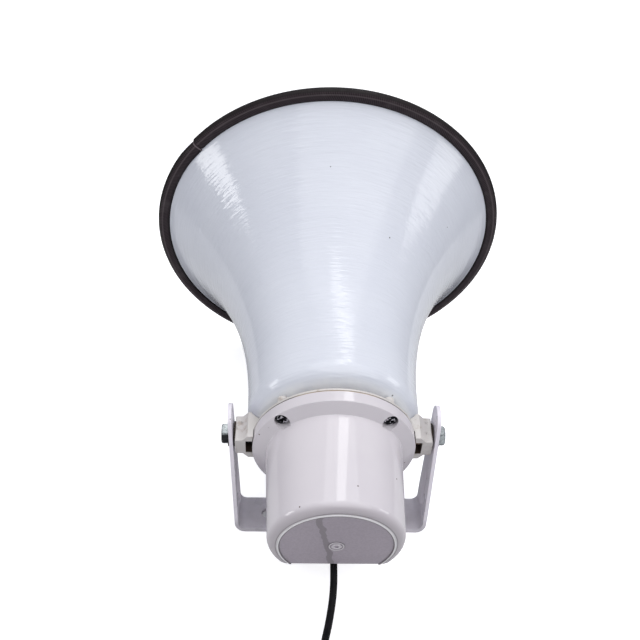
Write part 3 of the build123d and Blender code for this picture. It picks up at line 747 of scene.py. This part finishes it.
def joined(*meshes):
    """One bmesh from several meshes, welded where they meet."""
    bm = bmesh.new()
    for mesh in meshes:
        bm.from_mesh(mesh)
    bmesh.ops.remove_doubles(bm, verts=bm.verts, dist=weld)
    bmesh.ops.recalc_face_normals(bm, faces=bm.faces)
    return bm


def cut_out(bm, cutter_bm):
    """The first bmesh with the second cut out of it."""
    blank = link_object("blank", mesh_from(bm, "blank"))
    cutter = link_object("cutter", mesh_from(cutter_bm, "cutter"))
    modifier = blank.modifiers.new("cut", "BOOLEAN")
    modifier.object = cutter
    modifier.operation = "DIFFERENCE"
    result = bmesh.new()
    result.from_object(blank, bpy.context.evaluated_depsgraph_get())
    for piece in (blank, cutter):
        bpy.data.objects.remove(piece)
    return result


cover_bm = cut_out(joined(outside, inside), joined(*cutters))
mark_line = box_line(cover_rear_y + mark_root, cover_rear_y - mark_height, *mark_radii)
cover_bm.from_mesh(spun_mesh(mark_line, mark_sides, mark_turn))
open_edges = len([edge for edge in cover_bm.edges if not edge.is_manifold])
moulding = finish_piece(cover_bm, "cover_moulding", horn_place)
cover = dress(moulding, "horn", "cover_plastic", "rear_cover")
print("cover faces", len(cover.data.polygons), "open edges", open_edges)

# %% [markdown]
# ## Screws, bolts and washers
#
# The fasteners are small, so copies of their CAD nodes serve, recesses and all.

# %% Fasteners
for node, name, slot in (
    ("cover_screws", "cover_screw_heads", "dark_chrome"),
    ("pivot_bolts", "pivot_bolt_heads", "zinc_steel"),
    ("bolt_washers", "head_washers", "gasket_rubber"),
    ("friction_washers", "rubber_washers", "gasket_rubber"),
    ("pivot_nuts", "captive_nuts", "zinc_steel"),
    ("reflector_screw", "reflector_screw_head", "zinc_steel"),
    ("cable_bush", "cord_bush", "cord_rubber"),
):
    dress(smooth_copy(node, name), "horn", slot, node)
print("fasteners dressed")

# %% [markdown]
# ## The bracket
#
# The bracket is one strip of steel, bent up at both ends, with a bead pressed into each
# arm.

# %% Bracket
bracket = dress(smooth_copy("bracket", "bent_strip"), "bracket", "bracket_enamel", "bracket")
print("bracket faces", len(bracket.data.polygons))

# %% [markdown]
# ## Inside the mouth
#
# From the front the reflector hides the throat. It is a closed cup over the throat
# tube, held by one screw on the tube's spider.

# %% Reflector and throat tube
reflector_rear = (24.0, 32.5)
reflector_front = (122.0, 27.0)
reflector_wall = 1.6
reflector_dome = 20.0
dome_steps = 24

hollow_y, hollow_radius = (size - reflector_wall for size in reflector_front)
reflector_line = [
    (reflector_front[0], 0),
    (*reflector_front, reflector_dome, dome_steps),
    reflector_rear,
    (reflector_rear[0], reflector_rear[1] - reflector_wall),
    (hollow_y, hollow_radius, reflector_dome - reflector_wall, dome_steps),
    (hollow_y, 0),
]
reflector = dress(turned("reflector_cup", reflector_line), "horn", "inner_plastic", "reflector")
dress(smooth_copy("throat_tube", "tube_moulding"), "horn", "inner_plastic", "throat_tube")
print("reflector faces", len(reflector.data.polygons))

# %% [markdown]
# Its tie and its two bare cores stay CAD nodes.

dress(cord, "horn", "cord_rubber", "cord", "cord_coil", "cord_tail")

# %% [markdown]
# ## Finishes
#
# Every finish is a Principled shader. What is the same all over a piece, such as its
# index of refraction, is set on the shader's own sockets. What changes from place to
# place, such as fine scratches or a stain, comes from noise on Object coordinates, which
# stay with the piece when it moves.

# %% Finish helpers
horn_turn = (-horn_tilt, 0, 0)
horn_shift = (0, -pivot.z * sin(horn_tilt), -pivot.z * cos(horn_tilt))


def new_finish(name, roughness, **sockets):
    """Material with a Principled shader and its plain values."""
    finish = bpy.data.materials.new(name)
    finish.use_nodes = True
    shader = finish.node_tree.nodes["Principled BSDF"]
    shader.inputs["Roughness"].default_value = roughness
    for socket, value in sockets.items():
        shader.inputs[socket.replace("_", " ")].default_value = value
    return finish


def join(finish, output, socket):
    """Links an output to one of the shader's sockets."""
    shader = finish.node_tree.nodes["Principled BSDF"]
    finish.node_tree.links.new(output, shader.inputs[socket])


def place_in(finish, on_horn=True):
    """Object coordinates, turned so that they follow the horn's own axis."""
    place = add_node(finish, "TexCoord", {}).outputs["Object"]
    if on_horn:
        back_to_axis = {"Vector": place, "Location": horn_shift, "Rotation": horn_turn}
        place = add_node(finish, "Mapping", back_to_axis).outputs[0]
    return place


print("finish helpers ready")

# %% [markdown]
# Noise keeps mostly to its middle range, so that range is what gets stretched. A pattern
# becomes a colour by mixing, a gloss as roughness, or a relief as bump.

# %% Pattern helpers
noise_range = (0.3, 0.7)


def stretched(finish, place, scale):
    """Coordinates with their own scale along each axis."""
    return add_node(finish, "Mapping", {"Vector": place, "Scale": scale}).outputs[0]


def grain(finish, place, scale, detail=2.0, rough=0.5):
    """Noise from 0 to 1, with features of about 1 / scale metres."""
    inputs = {"Vector": place, "Scale": scale, "Detail": detail, "Roughness": rough}
    return add_node(finish, "TexNoise", inputs).outputs["Fac"]


def uneven(finish, place, scale, low=0.0, high=1.0):
    """A level that wanders softly between two values."""
    return spread(finish, grain(finish, place, scale, 3.0), *noise_range, low, high)


def blend(finish, share, first, second):
    """Mix of two colours; a share of 0 gives the first."""
    pair = [
        tone if isinstance(tone, bpy.types.NodeSocket) else (*tone, 1) for tone in (first, second)
    ]
    return add_node(finish, "Mix", {0: share, 6: pair[0], 7: pair[1]}, data_type="RGBA").outputs[2]


def relief(finish, height, depth, below=None):
    """Bump from a height of 0 to 1 and a depth in metres."""
    inputs = {"Height": height, "Distance": depth, "Strength": 1.0}
    if below is not None:
        inputs["Normal"] = below
    return add_node(finish, "Bump", inputs).outputs[0]


def specks(finish, place, colour, scale, radius, tone):
    """Colour with scattered dots of a radius in metres."""
    cells = add_node(finish, "TexVoronoi", {"Vector": place, "Scale": scale})
    size = radius * scale
    dots = spread(finish, cells.outputs["Distance"], size * 0.7, size, 1.0, 0.0)
    return blend(finish, dots, colour, tone)


print("pattern helpers ready")

# %% [markdown]
# A mask says where a colour goes: 1 where it is wanted and 0 elsewhere. Masks multiply,
# and most of them come from a place or from the distance to the horn's axis.

# %% Mask helpers


def times(finish, mask, *others):
    """Product of masks."""
    for other in others:
        mask = number(finish, "MULTIPLY", mask, other)
    return mask


def from_axis(finish, axes):
    """Distance from the horn's axis."""
    across = add_node(finish, "CombineXYZ", {"X": axes["X"], "Z": axes["Z"]})
    return length(finish, across.outputs[0])


def band(finish, value, middle, full, gone, strength=1.0):
    """Mask of a band: strong to one distance from its middle, and gone at the next."""
    away = number(finish, "ABSOLUTE", number(finish, "SUBTRACT", value, middle))
    return spread(finish, away, full, gone, strength, 0.0)


print("mask helpers ready")

# %% [markdown]
# ## White enamel on spun metal
#
# The bell is turned on a lathe, and the roller leaves fine rings that the enamel doesn't
# quite fill. They break up the edges of the lamps' reflections into ragged streaks. The
# rings lie at one distance along the horn's axis, so noise that is stretched very thin
# along that axis draws them. The enamel is cool white, a little uneven, with a few dark
# specks, and low on the neck it is painted paler: a painted reflection of the ring.

# %% Horn enamel
ring_scale, ring_depth = (26, 1300, 26), 9.0e-6
wave_scale, wave_depth = (70, 620, 70), 2.5e-4
peel_depth = 2.5e-6
painted_reflection_from, painted_reflection_to = 0.0035, 0.0065


def horn_enamel():
    """Cool white gloss over lathe rings."""
    finish = new_finish("horn_enamel", 0.08, IOR=1.5)
    place = place_in(finish)
    rings = grain(finish, stretched(finish, place, ring_scale), 1.0, 3.0, 0.6)
    waves = grain(finish, stretched(finish, place, wave_scale), 1.0, 2.0)
    normal = relief(finish, rings, ring_depth)
    normal = relief(finish, waves, wave_depth, normal)
    join(finish, relief(finish, grain(finish, place, 750, 1.0), peel_depth, normal), "Normal")
    cloudy = spread(finish, grain(finish, place, 16, 3.0), 0.35, 0.7)
    colour = blend(finish, cloudy, (0.72, 0.745, 0.82), (0.68, 0.705, 0.785))
    lined = spread(finish, rings, 0.42, 0.72, 0.0, 0.22)
    colour = blend(finish, lined, colour, (0.62, 0.64, 0.72))
    # The bottom of the neck is painted a paler bluish white, a painted reflection of the ring.
    low = spread(finish, axes_of(finish, place)["Y"], painted_reflection_from, painted_reflection_to, 1.0, 0.0)
    painted_reflection = times(finish, low, grain(finish, place, 120, 4.0))
    colour = blend(finish, painted_reflection, colour, (0.93, 0.94, 0.95))
    join(finish, specks(finish, place, colour, 60, 0.00055, (0.12, 0.12, 0.14)), "Base Color")
    join(finish, uneven(finish, place, 60, 0.015, 0.045), "Roughness")
    return finish


finishes = {"horn_enamel": horn_enamel()}
print("horn enamel ready")

# %% [markdown]
# ## Black ribbed rubber
#
# The trim is extruded rubber: matt, black-brown, with fine slanting ribs. A sine of the
# angle round the axis plus the distance from it draws them, and a whole number of ribs
# makes the pattern close on itself. A painted highlight runs round its back as a paler
# line, both edges are painted darker as shade, and the cut end at the joint is pale.

# %% Trim rubber
rib_count = 520
rib_slant = 2300
trim_highlight_radius = 0.1083
trim_shaded_edges = (0.1040, 0.1102)
cut_end_angle = joint_angle - 0.007


def trim_rubber():
    """Matt black with slanting ribs, a painted highlight line, painted shade at both edges and a paler cut end."""
    finish = new_finish("trim_rubber", 0.5, IOR=1.5, Specular_IOR_Level=0.17)
    place = place_in(finish)
    axes = axes_of(finish, place)
    away = from_axis(finish, axes)
    angle = number(finish, "ARCTAN2", axes["X"], axes["Z"])
    slant = times(finish, number(finish, "SUBTRACT", away, axes["Y"]), rib_slant)
    wave = number(finish, "SINE", number(finish, "MULTIPLY_ADD", angle, rib_count, slant))
    ribs = spread(finish, wave, -1.0, 1.0)
    mottle = grain(finish, place, 400, 4.0)
    normal = relief(finish, ribs, 4e-5)
    join(finish, relief(finish, mottle, 4e-5, normal), "Normal")
    colour = blend(finish, ribs, (0.018, 0.012, 0.015), (0.046, 0.034, 0.040))
    wear_and_shade = spread(finish, grain(finish, place, 90, 5.0), 0.5, 0.75, 0.0, 0.5)
    colour = blend(finish, wear_and_shade, colour, (0.070, 0.058, 0.062))
    # The paler line round the back is a painted highlight.
    painted_highlight = band(finish, away, trim_highlight_radius, 0.0002, 0.0007, 0.55)
    colour = blend(finish, painted_highlight, colour, (0.115, 0.095, 0.102))
    # Both edges are painted darker: painted shade where the round section turns away.
    inner_edge_shade = spread(finish, away, trim_shaded_edges[0], trim_shaded_edges[0] + 0.0012, 0.85, 0.0)
    outer_edge_shade = spread(finish, away, trim_shaded_edges[1] - 0.0006, trim_shaded_edges[1], 0.0, 0.85)
    edges = number(finish, "MAXIMUM", inner_edge_shade, outer_edge_shade)
    colour = blend(finish, edges, colour, (0.008, 0.006, 0.007))
    cut_end = band(finish, angle, cut_end_angle, 0.002, 0.0055, 0.8)
    join(finish, blend(finish, cut_end, colour, (0.20, 0.165, 0.18)), "Base Color")
    join(finish, spread(finish, mottle, *noise_range, 0.38, 0.58), "Roughness")
    return finish


finishes["trim_rubber"] = trim_rubber()
print("trim rubber ready")

# %% [markdown]
# ## Moulded plastics
#
# The cover is gloss lilac-white plastic. Its rear panel is a matt field painted grey as
# shade, inside a rib painted white as a highlight, with painted shade along both sides of
# the rib, and a smear across it. The rounded corner behind the rib is painted darker as
# shade. The mask for the panel comes from the distance along the horn's axis and the
# distance from it. The ring is a warmer, duller ivory plastic, stained brown where it has
# been handled.

# %% Cover plastic
panel_y = cover_rear_y * mm
panel_rim = 0.0289
rib_middle = 0.02945
mark_rim = 0.0041
panel_roughness = 0.62
smear_lean, smear_x = -0.178, -0.00475


def streak(finish, axes):
    """Mask of the smear that runs down the rear panel."""
    wobble = grain(finish, stretched(finish, place_in(finish), (60, 60, 130)), 1.0, 2.0)
    middle = number(finish, "MULTIPLY_ADD", axes["Z"], smear_lean, smear_x)
    middle = number(finish, "ADD", middle, spread(finish, wobble, *noise_range, -0.0008, 0.0008))
    return band(finish, axes["X"], middle, 0.0014, 0.0017)


def panel_colour(finish, place, axes, away):
    """Grey of the rear panel, painted dark as shade, with its smear and the dark line round its mark."""
    fine = spread(finish, grain(finish, place, 900, 2.0), *noise_range)
    # The panel's grey is painted shade on the same plastic.
    matt = blend(finish, fine, (0.295, 0.250, 0.31), (0.355, 0.308, 0.372))
    matt = blend(finish, streak(finish, axes), matt, (0.148, 0.122, 0.148))
    mark_line = band(finish, away, mark_rim, 0.00015, 0.0004, 0.8)
    return blend(finish, mark_line, matt, (0.06, 0.052, 0.06))


def cover_plastic():
    """Lilac-white gloss with a matt panel painted grey as shade, inside a rib painted white as a highlight."""
    finish = new_finish("cover_plastic", 0.1, IOR=1.5)
    place = place_in(finish)
    axes = axes_of(finish, place)
    away = from_axis(finish, axes)
    at_rear = spread(finish, axes["Y"], panel_y - 0.0001, panel_y + 0.0002, 1.0, 0.0)
    under_mark = spread(finish, axes["Y"], panel_y - 0.00035, panel_y - 0.00015)
    inside = spread(finish, away, panel_rim - 0.0002, panel_rim, 1.0, 0.0)
    field = times(finish, at_rear, inside, under_mark)
    colour = blend(finish, uneven(finish, place, 22), (0.69, 0.655, 0.695), (0.655, 0.62, 0.665))
    colour = blend(finish, field, colour, panel_colour(finish, place, axes, away))
    # The rounded rear corner outside the rib is painted darker: painted shade.
    wear_and_shade = spread(finish, axes["Y"], panel_y - 0.0001, panel_y + 0.0052, 0.5, 0.0)
    outside = spread(finish, away, rib_middle - 0.001, rib_middle)
    colour = blend(finish, times(finish, wear_and_shade, outside), colour, (0.30, 0.265, 0.295))
    # Painted shade along both sides of the rib, then a painted highlight of white on its top.
    for full, gone, strength, tone in (
        (0.0009, 0.0015, 0.92, (0.13, 0.115, 0.125)),
        (0.00055, 0.0007, 1.0, (0.80, 0.785, 0.81)),
    ):
        rib_mask = band(finish, away, rib_middle, full, gone, strength)
        colour = blend(finish, times(finish, at_rear, rib_mask), colour, tone)
    join(finish, specks(finish, place, colour, 90, 0.0005, (0.16, 0.13, 0.12)), "Base Color")
    gloss = uneven(finish, place, 45, 0.04, 0.08)
    roughness = add_node(finish, "Mix", {0: field, 2: gloss, 3: panel_roughness})
    join(finish, roughness.outputs[0], "Roughness")
    peel = relief(finish, grain(finish, place, 420, 1.0), 4e-6)
    grainy = times(finish, grain(finish, place, 1600, 2.0), field)
    join(finish, relief(finish, grainy, 6e-5, peel), "Normal")
    return finish


finishes["cover_plastic"] = cover_plastic()
print("cover plastic ready")

# %% [markdown]
# The hollows of the ears are painted dark brown as shade. A mask for a box in the horn's own
# frame marks them. Shallow dimples and the round mark of an ejector pin are relief round a
# few spots.

# %% Ring plastic
hollow_x = (0.0439, 0.0475)
hollow_y = (-0.0083, 0.0062)
hollow_top = 0.0054
ear_dimples = ((50.7, 4.3, 5.8), (50.3, -2.4, 5.8), (-50.0, 3.4, 5.8))
pin_mark = (50.36, -8.6, 0.89)


def inside_ear(finish, place):
    """Mask of the hollows of both ears."""
    axes = axes_of(finish, place)
    masks = [number(finish, "LESS_THAN", number(finish, "ABSOLUTE", axes["Z"]), hollow_top)]
    aside = number(finish, "ABSOLUTE", axes["X"])
    for value, (low, high) in ((aside, hollow_x), (axes["Y"], hollow_y)):
        masks.append(number(finish, "GREATER_THAN", value, low))
        masks.append(number(finish, "LESS_THAN", value, high))
    return times(finish, *masks)


def round_mark(finish, place, spot, low, high):
    """Mask round a spot in the horn's own frame, fading between two distances."""
    centre = [mm * at for at in spot]
    offset = add_node(finish, "VectorMath", {0: place, 1: centre}, operation="SUBTRACT").outputs[0]
    return spread(finish, length(finish, offset), low, high, 1.0, 0.0)


def ring_plastic():
    """Dull ivory with brown stains, specks and hollows painted dark as shade."""
    finish = new_finish("ring_plastic", 0.36, IOR=1.5)
    place = place_in(finish)
    colour = blend(finish, uneven(finish, place, 30), (0.665, 0.64, 0.625), (0.60, 0.575, 0.56))
    darker_patch = spread(finish, grain(finish, place, 150, 5.0, 0.65), 0.53, 0.68, 0.0, 0.75)
    colour = blend(finish, darker_patch, colour, (0.42, 0.36, 0.31))
    colour = specks(finish, place, colour, 160, 0.0004, (0.2, 0.15, 0.12))
    # The ear hollows are painted near-black brown: painted shade.
    colour = blend(finish, inside_ear(finish, place), colour, (0.055, 0.038, 0.028))
    join(finish, colour, "Base Color")
    join(finish, uneven(finish, place, 90, 0.28, 0.46), "Roughness")
    skin = relief(finish, grain(finish, place, 700, 3.0), 2e-5)
    for spot in ear_dimples:
        skin = relief(finish, round_mark(finish, place, spot, 0.0003, 0.0009), -4e-4, skin)
    skin = relief(finish, round_mark(finish, place, pin_mark, 0.0016, 0.0019), -2e-4, skin)
    join(finish, relief(finish, grain(finish, place, 110, 1.0), 1.2e-4, skin), "Normal")
    return finish


finishes["ring_plastic"] = ring_plastic()
print("ring plastic ready")

# %% [markdown]
# ## The bracket's enamel
#
# The strip is dipped or sprayed with a thicker, lilac-white enamel. It has an orange-peel
# skin, specks, and a darker, mottled tone low down.

# %% Bracket enamel
low_tone_from, low_tone_to = 0.002, 0.012


def bracket_enamel():
    """Thick lilac-white coat with an orange-peel skin, darker low down."""
    finish = new_finish("bracket_enamel", 0.3, IOR=1.5)
    place = place_in(finish, on_horn=False)
    colour = blend(finish, uneven(finish, place, 28), (0.84, 0.805, 0.875), (0.79, 0.755, 0.825))
    # The enamel gets darker and mottled towards the bottom.
    low = spread(finish, axes_of(finish, place)["Z"], low_tone_from, low_tone_to, 0.75, 0.0)
    low_tone = times(finish, low, grain(finish, place, 80, 4.0))
    colour = blend(finish, low_tone, colour, (0.28, 0.26, 0.28))
    join(finish, specks(finish, place, colour, 130, 0.0005, (0.15, 0.13, 0.14)), "Base Color")
    join(finish, uneven(finish, place, 70, 0.24, 0.4), "Roughness")
    join(finish, relief(finish, grain(finish, place, 620, 2.0), 1.6e-5), "Normal")
    return finish


finishes["bracket_enamel"] = bracket_enamel()
print("bracket enamel ready")

# %% [markdown]
# ## Metals
#
# The screws' chrome is painted near black with bright spots: painted reflections in place
# of the dark and bright facets that a chrome head mirrors. The bolts are zinc plated, with a
# faint spangle. A metal's colour is its reflection's colour, so a plating has a light
# tone, and a dark one in spots where it mirrors little. The rest of the look comes from
# roughness and fine scratches.

# %% Metals


def worn_metal(name, dark, light, gloss, scratch, spots=(0.35, 0.65)):
    """Metal with spots of two tones, uneven gloss and fine scratches."""
    finish = new_finish(name, gloss[0], Metallic=1.0)
    place = place_in(finish)
    tone = spread(finish, grain(finish, place, 420, 4.0, 0.6), *spots)
    join(finish, blend(finish, tone, dark, light), "Base Color")
    join(finish, uneven(finish, place, 900, *gloss), "Roughness")
    lines = grain(finish, stretched(finish, place, (4000, 700, 700)), 1.0, 2.0)
    join(finish, relief(finish, lines, scratch), "Normal")
    return finish


metals = (
    # The screws' dark and bright spots are painted reflections.
    ("dark_chrome", (0.008, 0.008, 0.012), (0.70, 0.70, 0.73), (0.08, 0.2), 1.2e-5, (0.53, 0.62)),
    ("zinc_steel", (0.34, 0.37, 0.39), (0.60, 0.65, 0.67), (0.14, 0.3), 1e-5),
    ("cast_alloy", (0.42, 0.42, 0.43), (0.56, 0.56, 0.57), (0.4, 0.6), 3e-5),
    ("core_steel", (0.20, 0.20, 0.21), (0.34, 0.34, 0.35), (0.35, 0.55), 3e-5),
    ("tag_brass", (0.62, 0.46, 0.20), (0.78, 0.62, 0.32), (0.25, 0.45), 1e-5),
    ("coil_wire", (0.52, 0.22, 0.10), (0.72, 0.36, 0.18), (0.25, 0.4), 3e-5),
)
for name, *values in metals:
    finishes[name] = worn_metal(name, *values)
print("metals ready", len(metals))

# %% [markdown]
# The bolts have been outdoors. Between the arms they are rusty, and both heads are made
# darker: the left one all but its top edge, the right one in its lower half and at its
# very top. The mask keeps to the pivot, because the reflector's screw has the same finish
# and stays clean.

# %% Weathered bolts
pivot_reach = 0.02
arm_inside = (0.0478, 0.0482)
darkening_top = (0.0034, 0.0048)
right_lift = 0.0045
top_darkening_from = (0.0046, 0.0049)


def base_colour(finish):
    """The output that gives a finish its base colour so far."""
    return finish.node_tree.nodes["Principled BSDF"].inputs["Base Color"].links[0].from_socket


def weather(finish):
    """Adds rust, and darker patches on the heads, to the plating at the pivot."""
    axes = axes_of(finish, place_in(finish))
    at_pivot = number(finish, "LESS_THAN", axes["Y"], pivot_reach)
    inner = spread(finish, number(finish, "ABSOLUTE", axes["X"]), *arm_inside, 0.92, 0.0)
    rust = times(finish, inner, at_pivot)
    colour = blend(finish, rust, base_colour(finish), (0.11, 0.06, 0.035))
    on_right = number(finish, "GREATER_THAN", axes["X"], 0.0)
    height = number(finish, "MULTIPLY_ADD", on_right, right_lift, axes["Z"])
    # Both heads are made darker: the left all but its top edge, the right in its lower half and at its very top.
    head_darkening = spread(finish, height, *darkening_top, 0.95, 0.0)
    darker_patch = times(finish, on_right, spread(finish, axes["Z"], *top_darkening_from, 0.0, 0.8))
    head_darkening = times(finish, number(finish, "MAXIMUM", head_darkening, darker_patch), at_pivot)
    join(finish, blend(finish, head_darkening, colour, (0.012, 0.012, 0.015)), "Base Color")


weather(finishes["zinc_steel"])
print("bolts weathered")

# %% [markdown]
# ## Rubber, film, board and other small finishes
#
# The rest are two tones of one colour, mottled, each with its own gloss and fine skin.

# %% Small finishes


def mottled(name, first, second, roughness, scale, depth, mirror_level=0.5):
    """Two tones of one colour, with uneven gloss and a fine skin."""
    finish = new_finish(name, roughness, IOR=1.5, Specular_IOR_Level=mirror_level)
    place = place_in(finish)
    tone = grain(finish, place, scale, 4.0, 0.6)
    join(finish, blend(finish, spread(finish, tone, 0.35, 0.65), first, second), "Base Color")
    gloss = (roughness * 0.85, min(1.0, roughness * 1.2))
    join(finish, spread(finish, tone, *noise_range, *gloss), "Roughness")
    join(finish, relief(finish, grain(finish, place, scale * 4, 2.0), depth), "Normal")
    return finish


small_finishes = (
    ("gasket_rubber", (0.012, 0.009, 0.008), (0.050, 0.036, 0.028), 0.7, 300, 4e-5, 0.15),
    ("cord_rubber", (0.005, 0.005, 0.006), (0.010, 0.009, 0.011), 0.38, 350, 2e-5, 0.09),
    ("inner_plastic", (0.62, 0.62, 0.64), (0.68, 0.68, 0.70), 0.34, 60, 1e-5),
    ("tie_plastic", (0.55, 0.55, 0.55), (0.70, 0.70, 0.70), 0.4, 300, 1e-5),
    ("core_insulation", (0.45, 0.03, 0.03), (0.55, 0.05, 0.04), 0.4, 300, 1e-5),
    ("diaphragm_film", (0.30, 0.22, 0.10), (0.40, 0.30, 0.15), 0.3, 200, 1e-5),
    ("magnet_ferrite", (0.035, 0.035, 0.037), (0.06, 0.06, 0.062), 0.6, 260, 4e-5),
    ("terminal_board", (0.16, 0.07, 0.03), (0.22, 0.10, 0.05), 0.5, 320, 2e-5),
)
for name, *values in small_finishes:
    finishes[name] = mottled(name, *values)
print("finishes", len(finishes))

# %% [markdown]
# The gasket between the ring and the cover has bleached to tan where its edge faces up.

# %% Bleached gasket edge
bleach_from, bleach_to = 0.036, 0.0395


def bleach_edge(finish):
    """Turns the rubber tan near the top of the ring."""
    height = axes_of(finish, place_in(finish))["Z"]
    bleached = spread(finish, height, bleach_from, bleach_to, 0.0, 0.9)
    colour = blend(finish, bleached, base_colour(finish), (0.46, 0.35, 0.24))
    join(finish, colour, "Base Color")


bleach_edge(finishes["gasket_rubber"])
print("gasket edge bleached")

# %% [markdown]
# ## Putting the finishes on
#
# The pieces made here take the finish of their slot. A CAD node that is still shown
# takes the one that the record names for it, through its object's own material slots.

# %% Assign
for slot, made_pieces in pieces_by_slot.items():
    for piece in made_pieces:
        piece.data.materials.clear()
        piece.data.materials.append(finishes[slot])
subparts = frame["record"]["subparts"]
for subpart in subparts:
    for material_slot in nodes[subpart["node"]].material_slots:
        material_slot.link = "OBJECT"
        material_slot.material = finishes[subpart["material_slot"]]
print("slots finished", len({subpart["material_slot"] for subpart in subparts}))
